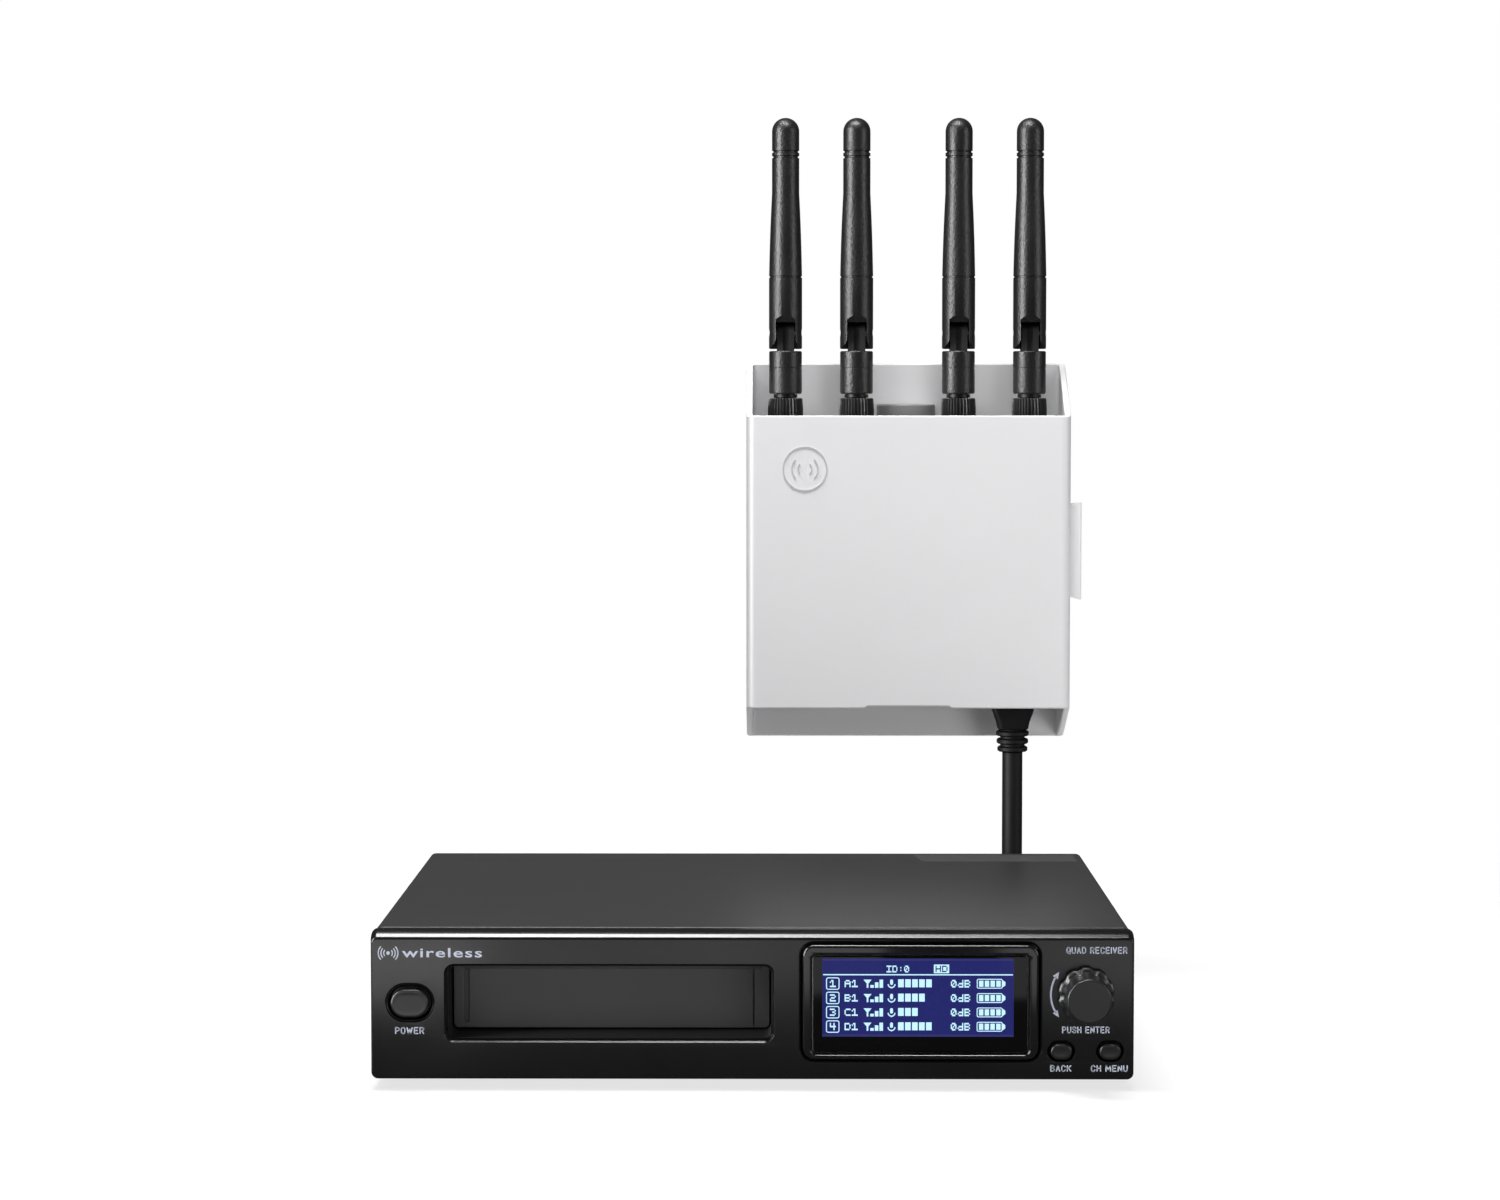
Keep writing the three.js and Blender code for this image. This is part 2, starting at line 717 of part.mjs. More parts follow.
// A flat tab that leans out of the right side, to hold the unit by.
function sideTab() {
  const { bottom, top, reach, thickness } = TAB;
  const root = SLEEVE.right - 0.8;
  const shape = outline([
    [root, 184],
    [reach - thickness, 173],
    [reach, 173],
    [root + thickness, 184],
  ]);
  return alongZ(shape, bottom, top);
}

// The half-round clip on the back wall, over the module's top edge.
function topClip() {
  const { half, bottom, top, depth } = CLIP;
  const back = SLEEVE.back - SLEEVE.wall + 0.5;
  const bulge = [];
  for (let k = 0; k <= 10; k++) {
    const angle = (Math.PI * k) / 10;
    bulge.push([SLEEVE_X + half * Math.cos(angle), back - depth * Math.sin(angle)]);
  }
  return alongZ(outline(bulge), bottom, top);
}

place("bracket_sleeve", bracketSleeve(), WHITE_PAINT);

// ---------------------------------------------------------------- antenna unit: module

const antennaX = (i) => SLEEVE_X + ANTENNA_OFFSETS[i];
const MODULE_X = [SLEEVE_X - MODULE.half, SLEEVE_X + MODULE.half];

// The module's whole case, hollow, with its socket holes and the mouth for the jack.
function moduleCase() {
  const { front, back, bottom, top, wall } = MODULE;
  const socketHoles = ANTENNA_OFFSETS.map((_, i) =>
    alongZ(circle(antennaX(i), ANTENNA_Y, 3.5, 16), top - 2 * wall, top + CUT),
  );
  const jackHole = alongZ(
    centredRectangle(JACK_X, ANTENNA_Y, SOCKET.width + 2 * GAP, SOCKET.depth + 2 * GAP),
    bottom - CUT,
    bottom + 2 * wall,
  );
  return cut(
    alongZ(rectangle(...MODULE_X, front, back, 1), bottom, top),
    box(
      [MODULE_X[0] + wall, MODULE_X[1] - wall],
      [front + wall, back - wall],
      [bottom + wall, top - wall],
    ),
    ...socketHoles,
    jackHole,
  );
}

function moduleShells() {
  const whole = moduleCase();
  const [x, z] = [
    [MODULE_X[0] - CUT, MODULE_X[1] + CUT],
    [MODULE.bottom - CUT, MODULE.top + CUT],
  ];
  const frontHalf = box(x, [MODULE.front - CUT, MODULE_SPLIT - GAP / 2], z);
  const backHalf = box(x, [MODULE_SPLIT + GAP / 2, MODULE.back + CUT], z);
  return [whole.intersect(frontHalf), whole.intersect(backHalf)];
}

// The module's board, with four threaded antenna sockets along its top edge.
function moduleBoard() {
  const board = box([MODULE_X[0] + 3, MODULE_X[1] - 3], [184.2, 185.8], [106.5, 176]);
  const sockets = ANTENNA_OFFSETS.map((_, i) =>
    alongZ(circle(antennaX(i), ANTENNA_Y, ANTENNA.socketRadius, 16), 172, ANTENNA.socketTop),
  );
  return join(board, ...sockets);
}

const [frontShell, backShell] = moduleShells();
place("module_shell_front", frontShell, BLACK_PLASTIC);
place("module_shell_back", backShell, BLACK_PLASTIC);
place("module_board", moduleBoard(), BRASS);
place(
  "module_jack",
  networkSocket().translate([JACK_X, ANTENNA_Y, MODULE.bottom + GAP]),
  STEEL,
);

// ---------------------------------------------------------------- antenna unit: antennas

// The knurled nut that holds an antenna to its socket.
function antennaNut(x) {
  const { nutRadius, nutBottom, nutTop, socketRadius } = ANTENNA;
  const outer = [
    [0, nutBottom],
    [nutRadius, nutBottom],
    [nutRadius, nutTop - 0.8],
    [nutRadius - 0.8, nutTop],
    [0, nutTop],
  ];
  const bore = alongZ(circle(x, ANTENNA_Y, socketRadius + 0.4, 16), nutBottom - CUT, nutTop + CUT);
  return cut(turned(outer, x, ANTENNA_Y), bore);
}

// The base that swivels in the nut, with the tongue that carries the hinge pin.
function antennaBase(x) {
  const a = ANTENNA;
  const profile = [
    [0, a.neckBottom],
    [a.socketRadius, a.neckBottom],
    [a.socketRadius, a.collarBottom],
    [a.collarRadius, a.collarBottom],
    [a.collarRadius, a.collarTop],
    [0, a.collarTop],
  ];
  const ends = [x - a.tongueHalf, x + a.tongueHalf];
  const [front, back] = [ANTENNA_Y - a.tongueRadius, ANTENNA_Y + a.tongueRadius];
  const tongue = join(
    box(ends, [front, back], [a.collarTop - 1, a.pinZ]),
    alongX(circle(ANTENNA_Y, a.pinZ, a.tongueRadius, 24), ...ends),
  );
  const pinHole = alongX(circle(ANTENNA_Y, a.pinZ, a.pinRadius + GAP, 10), x - 4, x + 4);
  return cut(join(turned(profile, x, ANTENNA_Y), tongue), pinHole);
}

// The blade: a long cap with a slot at its foot that straddles the tongue.
function antennaBlade(x) {
  const a = ANTENNA;
  const tipCurve = [0.35, 0.65, 0.85].map((t) => [
    a.tipRadius * Math.sqrt(1 - t * t),
    a.top - a.tipRadius * (1 - t),
  ]);
  const profile = [
    [0, a.bladeBottom],
    [a.bladeRadius, a.bladeBottom],
    [a.bladeRadius, a.seam],
    [a.tipRadius, a.taperTop],
    [a.tipRadius, a.ringBottom],
    [a.tipRadius - 0.35, a.ringBottom + 0.3],
    [a.tipRadius - 0.35, a.ringTop - 0.3],
    [a.tipRadius, a.ringTop],
    [a.tipRadius, a.top - a.tipRadius],
    ...tipCurve,
    [0, a.top],
  ];
  const slot = alongX(
    outline([
      [ANTENNA_Y - 7, a.bladeBottom - CUT],
      [ANTENNA_Y + a.slotBack, a.bladeBottom - CUT],
      [ANTENNA_Y + a.slotBack, a.slotTop],
      [ANTENNA_Y - 3.6, a.slotTop],
      [ANTENNA_Y - 7, a.slotLip],
    ]),
    x - a.slotHalf,
    x + a.slotHalf,
  );
  // The front foot of each cheek is rounded so that it clears the collar as the blade folds.
  const cheekFoot = cut(
    box([x - 7, x + 7], [ANTENNA_Y - 7, ANTENNA_Y], [a.bladeBottom - CUT, a.pinZ]),
    alongX(circle(ANTENNA_Y, a.pinZ, a.cheekSwing, 32), x - 8, x + 8),
  );
  const pinHole = alongX(circle(ANTENNA_Y, a.pinZ, a.pinRadius + GAP, 10), x - 8, x + 8);
  return cut(turned(profile, x, ANTENNA_Y), slot, cheekFoot, pinHole);
}

ANTENNA_OFFSETS.forEach((_, i) => {
  const x = antennaX(i);
  const pin = circle(ANTENNA_Y, ANTENNA.pinZ, ANTENNA.pinRadius, 10);
  place(`antenna_${i + 1}_nut`, antennaNut(x), BLACK_PLASTIC);
  place(`antenna_${i + 1}_base`, antennaBase(x), BLACK_PLASTIC);
  place(`antenna_${i + 1}_pin`, alongX(pin, x - 4.9, x + 4.9), STEEL);
  place(`antenna_${i + 1}_blade`, antennaBlade(x), BLACK_PLASTIC);
});

// ---------------------------------------------------------------- link cable

// A network plug with its boot, pointing up, with the socket's mouth at z = 0.
function plugWithBoot() {
  const { boot, collar, taper, wide, narrow, ring } = PLUG;
  const contacts = alongZ(centredRectangle(0, 0, 11.3, 7.9), -1.5, 10.8);
  const side = outline([
    [-narrow / 2, -taper],
    [narrow / 2, -taper],
    [wide / 2, -collar],
    [wide / 2, -0.6],
    [-wide / 2, -0.6],
    [-wide / 2, -collar],
  ]);
  const head = alongY(side, -5, 5);
  const rings = [[0, -boot]];
  const ringHeight = (boot - taper) / 5;
  for (let k = 0; k < 5; k++) {
    const radius = k % 2 ? ring - 1 : ring;
    rings.push([radius, -boot + k * ringHeight]);
    rings.push([radius, -boot + (k + 1) * ringHeight]);
  }
  rings.push([0, -taper + 0.01]);
  return join(contacts, head, turned(rings, 0, 0, 16), box([-2, 2], [-2, 2], [-taper - 1, -5]));
}

function cordTube(route, steps) {
  const path = new THREE.CatmullRomCurve3(route.map((p) => vector(...p)));
  const section = circle(0, 0, CORD_RADIUS, 8);
  const settings = { steps, bevelEnabled: false, extrudePath: path };
  return toSolid(new THREE.ExtrudeGeometry(section, settings));
}

// A ring with a rectangular section, standing on the table round the coil's middle.
function coilRing(spare) {
  const reach = TURN_SPACING / 2 + CORD_RADIUS + 0.1 + spare;
  const [inner, outer] = [COIL.middle - reach, COIL.middle + reach];
  const low = COIL.lowest - CORD_RADIUS - 0.1 - spare;
  const high = COIL.lowest + TURN_SPACING + CORD_RADIUS + 0.1 + spare;
  const profile = [
    [inner, low],
    [outer, low],
    [outer, high],
    [inner, high],
    [inner, low],
  ];
  return turned(profile, COIL.x, COIL.y, 36);
}

// A strap round the coil's section, at the coil's back.
function coilTie() {
  const reach = TURN_SPACING / 2 + CORD_RADIUS + 0.4;
  const far = COIL.y + COIL.middle + reach;
  const near = COIL.y + COIL.middle - reach - 0.7; // the ring curves away over the tie's width
  const low = COIL.lowest - CORD_RADIUS - 0.4;
  const high = COIL.lowest + TURN_SPACING + CORD_RADIUS + 0.4;
  const t = TIE.thickness;
  return cut(
    alongX(
      rectangle(near - t, far + t, low - t, high + t, 1.2, 2),
      COIL.x - TIE.half,
      COIL.x + TIE.half,
    ),
    alongX(rectangle(near, far, low, high, 0.4, 1), COIL.x - 2 * TIE.half, COIL.x + 2 * TIE.half),
  );
}

place(
  "link_plug_top",
  plugWithBoot().translate([JACK_X, ANTENNA_Y, MODULE.bottom]),
  CABLE_BLACK,
);
place("link_cord_drop", cut(cordTube(CORD_DROP, 24), coilRing(GAP)), CABLE_BLACK);
place("link_cord_coil", coilRing(0), CABLE_BLACK);
place("link_coil_tie", coilTie(), TIE_FABRIC);
place("link_cord_lead", cut(cordTube(CORD_LEAD, 8), coilRing(GAP)), CABLE_BLACK);
place(
  "link_plug_rear",
  toRear(plugWithBoot(), ANTENNA_PORT.x, FLANGE.front + GAP, ANTENNA_PORT.z),
  CABLE_BLACK,
);

// ---------------------------------------------------------------- the whole unit

unit.position.y = -(DIAL.face + SLEEVE.back) / 2;

const receiver = new THREE.Group();
receiver.add(unit);

export default receiver;
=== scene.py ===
"""Half-rack wireless receiver, its antenna unit in a wall bracket, and the link cable.

Shapes are laid out in millimetres in the receiver's own frame: x to the right, y from the
face of the front panel to the back, z up from the table. UNIT turns that into the frame of
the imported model, in metres.
"""

import math

import bmesh
import bpy
from mathutils import Matrix, Vector
from mathutils.geometry import tessellate_polygon


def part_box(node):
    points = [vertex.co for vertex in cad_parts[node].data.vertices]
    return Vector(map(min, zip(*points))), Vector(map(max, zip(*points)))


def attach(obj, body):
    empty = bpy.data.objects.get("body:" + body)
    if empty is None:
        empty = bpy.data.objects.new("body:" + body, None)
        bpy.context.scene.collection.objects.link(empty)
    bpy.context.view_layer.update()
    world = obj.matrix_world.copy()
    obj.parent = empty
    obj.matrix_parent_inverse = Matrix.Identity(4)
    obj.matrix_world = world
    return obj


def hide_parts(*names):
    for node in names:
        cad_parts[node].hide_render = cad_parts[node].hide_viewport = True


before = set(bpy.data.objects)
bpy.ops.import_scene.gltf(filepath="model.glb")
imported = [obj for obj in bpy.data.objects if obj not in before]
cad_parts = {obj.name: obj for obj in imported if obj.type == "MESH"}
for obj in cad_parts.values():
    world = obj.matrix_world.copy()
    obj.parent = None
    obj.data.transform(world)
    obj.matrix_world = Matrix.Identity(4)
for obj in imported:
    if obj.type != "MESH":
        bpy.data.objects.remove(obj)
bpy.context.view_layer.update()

MM = 0.001
FRONT_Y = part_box("front_panel")[0][1]
UNIT = Matrix.Translation((0, FRONT_Y, 0)) @ Matrix.Scale(MM, 4)
SCENE = bpy.context.scene


def mm_box(node):
    """A CAD node's lowest and highest corners in millimetres, in the receiver's frame."""
    low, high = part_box(node)
    back = UNIT.inverted()
    return back @ Vector(low), back @ Vector(high)


def middle_of(node):
    """The x and z of the middle of a CAD node."""
    low, high = mm_box(node)
    return (low.x + high.x) / 2, (low.z + high.z) / 2


# ---- shader helpers

WHITE = (1, 1, 1, 1)


def grey(value, tint=0.0):
    return (value, value, value * (1 + tint))


def put(node, **values):
    """Sets a node's own inputs. An underscore in a name stands for a space."""
    for name, value in values.items():
        node.inputs[name.replace("_", " ")].default_value = value
    return node


def add_node(tree, kind, **values):
    return put(tree.nodes.new("ShaderNode" + kind), **values)


def new_shader(name, **values):
    """A material, its node tree, its shader with some inputs set, and object coordinates."""
    material = bpy.data.materials.new(name)
    material.use_nodes = True
    tree = material.node_tree
    shader = put(tree.nodes["Principled BSDF"], **values)
    return material, tree, shader, add_node(tree, "TexCoord").outputs["Object"]


def noise(tree, place, scale, **values):
    node = add_node(tree, "TexNoise", Scale=scale, **values)
    tree.links.new(place, node.inputs["Vector"])
    return node.outputs["Fac"]


def blend(tree, factor, first, second, target):
    """Feeds a socket with the mix of two colours by a factor."""
    mix = add_node(tree, "MixRGB", Color1=(*first, 1), Color2=(*second, 1))
    tree.links.new(factor, mix.inputs["Fac"])
    tree.links.new(mix.outputs["Color"], target)


def arithmetic(tree, operation, *terms):
    """A maths node's result. Each term is a number or a socket."""
    node = add_node(tree, "Math")
    node.operation = operation
    for socket, term in zip(node.inputs, terms):
        if isinstance(term, float):
            socket.default_value = term
        else:
            tree.links.new(term, socket)
    return node.outputs[0]


def ramp(tree, value, start, end, first, last, target, smooth=False):
    """Feeds a socket with a value mapped from start..end to first..last."""
    node = add_node(tree, "MapRange", From_Min=start, From_Max=end, To_Min=first, To_Max=last)
    if smooth:
        node.interpolation_type = "SMOOTHSTEP"
    tree.links.new(value, node.inputs["Value"])
    tree.links.new(node.outputs["Result"], target)


# ---- camera, light, floor

CAMERA_PLACE = (6.3, -962.6, 190.6)
CAMERA_PITCH = -3.29
CAMERA_YAW = 0.41
FOCAL_LENGTH = 84.8
SURROUND_DIM = 0.1  # the surround's strength for everything but the camera

# Soft boxes, in metres and watts: name, place, target, size, power, and whether each one
# leaves highlights and lights surfaces.
LIGHTS = [
    ("overhead", (-0.07, -0.08, 0.85), (-0.03, 0, 0), (0.5, 0.14), 9, True, True),
    ("key", (-0.45, -0.62, 0.42), (0, 0.05, 0.12), (0.2, 0.2), 0.95, False, True),
    ("top_fill", (0.12, -0.5, 0.95), (0.05, 0.15, 0.2), (0.4, 0.3), 1.25, False, True),
    ("low_fill", (0.5, -0.75, 0.12), (0.08, 0.1, 0.1), (0.4, 0.15), 1.9, False, True),
    ("left_strip", (-0.8, -0.42, 0.36), (0.05, 0.08, 0.24), (0.3, 0.8), 22, True, False),
    ("right_strip", (0.85, -0.35, 0.3), (0.05, 0.08, 0.2), (0.2, 0.5), 2.4, True, False),
    ("left_card", (-0.09, -0.2, 0.02), (-0.07, 0, 0.038), (0.26, 0.026), 0.032, True, False),
    ("corner_card", (-0.13, -0.2, 0.02), (-0.1, 0, 0.038), (0.09, 0.026), 0.012, True, False),
    ("right_card", (0.115, -0.2, 0.02), (0.095, 0, 0.038), (0.08, 0.026), 0.009, True, False),
    ("rear_fill", (-0.3, 1.0, 0.9), (0, 0.1, 0.1), (0.5, 0.5), 6, False, True),
]


def add_camera():
    data = bpy.data.cameras.new("camera")
    data.lens = FOCAL_LENGTH
    data.sensor_width = 36
    data.clip_end = 50
    camera = bpy.data.objects.new("camera", data)
    SCENE.collection.objects.link(camera)
    camera.location = UNIT @ Vector(CAMERA_PLACE)
    camera.rotation_euler = (math.radians(90 + CAMERA_PITCH), 0, math.radians(CAMERA_YAW))
    SCENE.camera = camera


def add_lights():
    """A white surround for the camera, a dim one for reflections, and the soft boxes."""
    world = bpy.data.worlds.new("studio")
    SCENE.world = world
    world.use_nodes = True
    tree = world.node_tree
    dim = put(tree.nodes["Background"], Color=WHITE, Strength=SURROUND_DIM)
    white = add_node(tree, "Background", Color=WHITE)
    mix = add_node(tree, "MixShader")
    tree.links.new(add_node(tree, "LightPath").outputs["Is Camera Ray"], mix.inputs["Fac"])
    tree.links.new(dim.outputs[0], mix.inputs[1])
    tree.links.new(white.outputs[0], mix.inputs[2])
    tree.links.new(mix.outputs[0], tree.nodes["World Output"].inputs["Surface"])
    for name, place, target, size, power, mirrored, diffuse in LIGHTS:
        data = bpy.data.lights.new(name, "AREA")
        data.shape = "RECTANGLE"
        data.size, data.size_y = size
        data.energy = power
        light = bpy.data.objects.new(name, data)
        SCENE.collection.objects.link(light)
        light.location = place
        light.visible_camera = False
        light.visible_glossy = mirrored
        light.visible_diffuse = diffuse
        aim = Vector(target) - Vector(place)
        light.rotation_euler = aim.to_track_quat("-Z", "Y").to_euler()


FLOOR_RADIUS = 1.1
FLOOR_SIDES = 96
FLOOR_FADE = (0.26, 0.55)  # where the floor starts to fade and where it is gone


def add_floor():
    """A round pale floor whose rim fades into the white surround."""
    mesh = bpy.data.meshes.new("floor")
    rim = [2 * math.pi * k / FLOOR_SIDES for k in range(FLOOR_SIDES)]
    corners = [(FLOOR_RADIUS * math.cos(a), FLOOR_RADIUS * math.sin(a), 0) for a in rim]
    mesh.from_pydata(corners, [], [tuple(range(FLOOR_SIDES))])
    floor = bpy.data.objects.new("floor", mesh)
    SCENE.collection.objects.link(floor)
    material, tree, shader, place = new_shader(
        "floor_white",
        Roughness=0.8,
        Specular_IOR_Level=0.1,
        Emission_Color=WHITE,
        Emission_Strength=0.74,
    )
    blend(tree, noise(tree, place, 3), grey(0.24), grey(0.26), shader.inputs["Base Color"])
    distance = add_node(tree, "VectorMath")
    distance.operation = "LENGTH"
    tree.links.new(place, distance.inputs[0])
    ramp(tree, distance.outputs["Value"], *FLOOR_FADE, 1, 0, shader.inputs["Alpha"], smooth=True)
    mesh.materials.append(material)
    floor.visible_glossy = False


SCENE.view_settings.view_transform = "Standard"
add_camera()
add_lights()
add_floor()


# ---- materials

MAT = {}
FINE_SHARE = 0.35  # of the colour's variation that follows the fine grain
SLOW_SHARE = 0.65


def surface(
    name,
    slot,
    dark,
    light,
    rough=(0.4, 0.5),
    metallic=0.0,
    grain=2500,
    bump=0.15,
    bump_height=0.02,
    blotch=30,
    specular=0.5,
):
    """A procedural finish: slow colour variation, roughness variation and fine grain.

    dark and light are the ends of the colour's range, rough the ends of the roughness's.
    grain is the scale of the fine bump per metre, blotch that of the slow variation.
    """
    material, tree, shader, place = new_shader(name, Metallic=metallic, Specular_IOR_Level=specular)
    slow = noise(tree, place, blotch, Detail=5)
    fine = noise(tree, place, grain, Detail=3)
    slow_part = arithmetic(tree, "MULTIPLY", slow, SLOW_SHARE)
    both = arithmetic(tree, "MULTIPLY_ADD", fine, FINE_SHARE, slow_part)
    blend(tree, both, dark, light, shader.inputs["Base Color"])
    ramp(tree, slow, 0.3, 0.7, *rough, shader.inputs["Roughness"])
    relief = add_node(tree, "Bump", Strength=bump, Distance=bump_height * MM)
    tree.links.new(fine, relief.inputs["Height"])
    tree.links.new(relief.outputs["Normal"], shader.inputs["Normal"])
    MAT[name] = material


def glowing(name, color, glow, strength, depth=0.25):
    """A lit display surface: a base colour, an even glow and a faint cell pattern."""
    material, tree, shader, place = new_shader(
        name,
        Roughness=0.5,
        Coat_Weight=0.05,
        Coat_Roughness=0.03,
        Specular_IOR_Level=0.15,
        Emission_Strength=strength,
    )
    cells = noise(tree, place, 2800)
    for socket, tint in (("Base Color", color), ("Emission Color", glow)):
        low = [c * (1 - depth) for c in tint]
        high = [min(1, c * (1 + depth)) for c in tint]
        blend(tree, cells, low, high, shader.inputs[socket])
    MAT[name] = material


FINE_PAINT = {"bump": 0.3, "bump_height": 0.012}
surface(
    "panel_black", "black_paint", grey(0.003, 0.1), grey(0.005, 0.1), (0.19, 0.25), grain=3200,
    specular=0.4, **FINE_PAINT
)
surface(
    "cover_black", "black_paint", grey(0.018, 0.05), grey(0.028, 0.05), (0.34, 0.4), grain=3600,
    specular=0.35, blotch=9, **FINE_PAINT
)
surface(
    "bay_black", "black_plastic", grey(0.042), grey(0.062), (0.42, 0.5), grain=2600, bump=0.6,
    specular=0.4
)
surface("liner_black", "black_plastic", grey(0.004), grey(0.007), (0.5, 0.6), grain=2600, bump=0.4)
surface(
    "gloss_black", "black_plastic", grey(0.004), grey(0.006), (0.1, 0.16), grain=900, bump=0.02,
    specular=0.45
)
surface(
    "lens_black", "display_glass", grey(0.002), grey(0.003), (0.05, 0.08), grain=700, bump=0.01,
    specular=0.2
)
surface(
    "key_black", "key_plastic", grey(0.007), grey(0.012), (0.3, 0.38), grain=3800, bump=0.25,
    specular=0.45
)
surface(
    "knob_black", "black_plastic", grey(0.007), grey(0.012), (0.3, 0.38), grain=4200, bump=0.35,
    specular=0.45
)
surface(
    "antenna_black", "black_plastic", grey(0.003), grey(0.007), (0.36, 0.44), grain=1300, bump=1.0,
    bump_height=0.14, blotch=60, specular=0.45
)
# Painted shade: the clip is the bracket's white plastic, coloured mid grey to stand in for the shade on
# its face.
surface("clip_painted_shade", "white_paint", grey(0.22, 0.01), grey(0.26, 0.01), (0.35, 0.45), grain=1800)
surface("white_sleeve", "white_paint", grey(0.77, 0.015), grey(0.81, 0.015), grain=1800, bump=0.1)
surface("emblem_grey", "white_paint", grey(0.5, 0.01), grey(0.54, 0.01), grain=1800)
surface("module_black", "black_plastic", grey(0.016), grey(0.026), (0.45, 0.6), grain=2200)
surface(
    "cable_black", "cable_black", grey(0.004), grey(0.007), (0.5, 0.6), grain=1500, bump=0.3,
    blotch=90, specular=0.25
)
surface("rubber", "rubber", grey(0.01), grey(0.02), (0.7, 0.85), grain=1800, bump=0.6)
surface(
    "steel", "plated_steel", grey(0.5, 0.02), grey(0.62, 0.02), (0.25, 0.38), metallic=1,
    grain=1200, bump=0.08
)
surface("steel_dark", "plated_steel", grey(0.02), grey(0.03), metallic=1, bump=0.08)
surface("gold", "gold_brass", (0.65, 0.45, 0.15), (0.8, 0.58, 0.22), (0.2, 0.3), metallic=1)
PRINT_DARK, PRINT_LIGHT = (0.52, 0.56, 0.68), (0.6, 0.64, 0.76)
surface("print_white", "white_paint", PRINT_DARK, PRINT_LIGHT, (0.5, 0.6), grain=5000, bump=0.1)
surface(
    "label_grey", "black_plastic", grey(0.015, 0.06), grey(0.055, 0.06), (0.5, 0.6), grain=900,
    bump=0.5, blotch=500
)
surface("tie_fabric", "tie_fabric", grey(0.01), grey(0.03), (0.85, 0.95), grain=1400, bump=0.9)
surface("board_green", "board_green", (0.01, 0.1, 0.04), (0.02, 0.16, 0.06), (0.35, 0.5))
glowing("lcd_blue", (0.004, 0.005, 0.03), (0.009, 0.011, 0.115), 1)
glowing("lcd_edge", (0.01, 0.01, 0.04), (0.02, 0.02, 0.12), 1)
glowing("lcd_pixel", (0.2, 0.3, 0.35), (0.5, 0.8, 0.95), 0.85, depth=0.08)


# ---- mesh building


def new_piece(name, build, material, body="root", stands_for=(), bevel=0.0, sharp=32, merge=True):
    """Adds one piece from a bmesh in millimetres. build is the bmesh or a function of one."""
    if callable(build):
        bm = bmesh.new()
        build(bm)
    else:
        bm = build
    if merge:
        bmesh.ops.remove_doubles(bm, verts=bm.verts, dist=1e-3)
    bmesh.ops.recalc_face_normals(bm, faces=bm.faces)
    bm.transform(UNIT)
    mesh = bpy.data.meshes.new(name)
    bm.to_mesh(mesh)
    bm.free()
    mesh.materials.append(MAT[material])
    piece = bpy.data.objects.new(name, mesh)
    SCENE.collection.objects.link(piece)
    finish_shading(piece, bevel, sharp)
    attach(piece, body)
    if stands_for:
        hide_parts(*stands_for)
    return piece


def finish_shading(piece, bevel, sharp):
    """Smooth shading with crisp corners, after rounding the edges by bevel millimetres."""
    mesh = piece.data
    mesh.shade_smooth()
    if bevel:
        rounding = piece.modifiers.new("rounding", "BEVEL")
        rounding.width = bevel * MM
        rounding.segments = 3
        rounding.limit_method = "ANGLE"
        rounding.angle_limit = math.radians(sharp)
    else:
        mesh.set_sharp_from_angle(angle=math.radians(sharp))
    weighted = piece.modifiers.new("weighted", "WEIGHTED_NORMAL")
    weighted.keep_sharp = True


def keep_node(name, material, bevel=0.0):
    """Gives a CAD node its finish, and soft edges where bevel is set."""
    node = bpy.data.objects[name]
    node.data.materials.clear()
    node.data.materials.append(MAT[material])
    if bevel:
        merge = node.modifiers.new("merge", "WELD")
        merge.merge_threshold = 1e-6
        flat = node.modifiers.new("flat", "DECIMATE")
        flat.decimate_type = "DISSOLVE"
        flat.angle_limit = math.radians(1)
        rounding = node.modifiers.new("rounding", "BEVEL")
        rounding.width = bevel * MM
        rounding.segments = 2
        rounding.limit_method = "ANGLE"
        rounding.angle_limit = math.radians(40)
        rounding.harden_normals = False


def arc(cx, cy, radius, start, end, steps):
    """Points on an arc, from the angle start to end in degrees."""
    points = []
    for k in range(steps + 1):
        angle = math.radians(start + (end - start) * k / steps)
        points.append((cx + radius * math.cos(angle), cy + radius * math.sin(angle)))
    return points


def rounded(left, right, low, high, radius, steps=6):
    """A rectangle with rounded corners, counter-clockwise."""
    r = max(radius, 0.02)
    return (
        arc(right - r, low + r, r, -90, 0, steps)
        + arc(right - r, high - r, r, 0, 90, steps)
        + arc(left + r, high - r, r, 90, 180, steps)
        + arc(left + r, low + r, r, 180, 270, steps)
    )


class Outline:
    """A rounded rectangle, obround or circle that can grow or shrink by an offset."""

    def __init__(self, left, right, low, high, radius, steps=6):
        self.sides = (left, right, low, high)
        self.radius = radius
        self.steps = steps

    def grown(self, by):
        left, right, low, high = self.sides
        return rounded(left - by, right + by, low - by, high + by, self.radius + by, self.steps)


def obround(x, z, width, height, steps=10):
    w, h = width / 2, height / 2
    return Outline(x - w, x + w, z - h, z + h, h - 1e-3, steps)


def round_outline(x, z, radius, steps=10):
    return Outline(x - radius, x + radius, z - radius, z + radius, radius - 1e-3, steps)


def ring_at_x(bm, points, x):
    return [bm.verts.new((x, y, z)) for y, z in points]


def ring_at_y(bm, points, y):
    return [bm.verts.new((x, y, z)) for x, z in points]


def ring_at_z(bm, points, z):
    return [bm.verts.new((x, y, z)) for x, y in points]


def bridge(bm, first, second):
    """Quads between two closed rings with the same number of points."""
    count = len(first)
    for k in range(count):
        n = (k + 1) % count
        bm.faces.new((first[k], first[n], second[n], second[k]))


def join_rings(bm, rings):
    """Bridges each ring to the next."""
    for first, second in zip(rings, rings[1:]):
        bridge(bm, first, second)


def fill(bm, *rings):
    """Fills the area inside the first ring and outside the others."""
    loops = [[v.co.copy() for v in ring] for ring in rings]
    verts = [v for ring in rings for v in ring]
    for a, b, c in tessellate_polygon(loops):
        bm.faces.new((verts[a], verts[b], verts[c]))


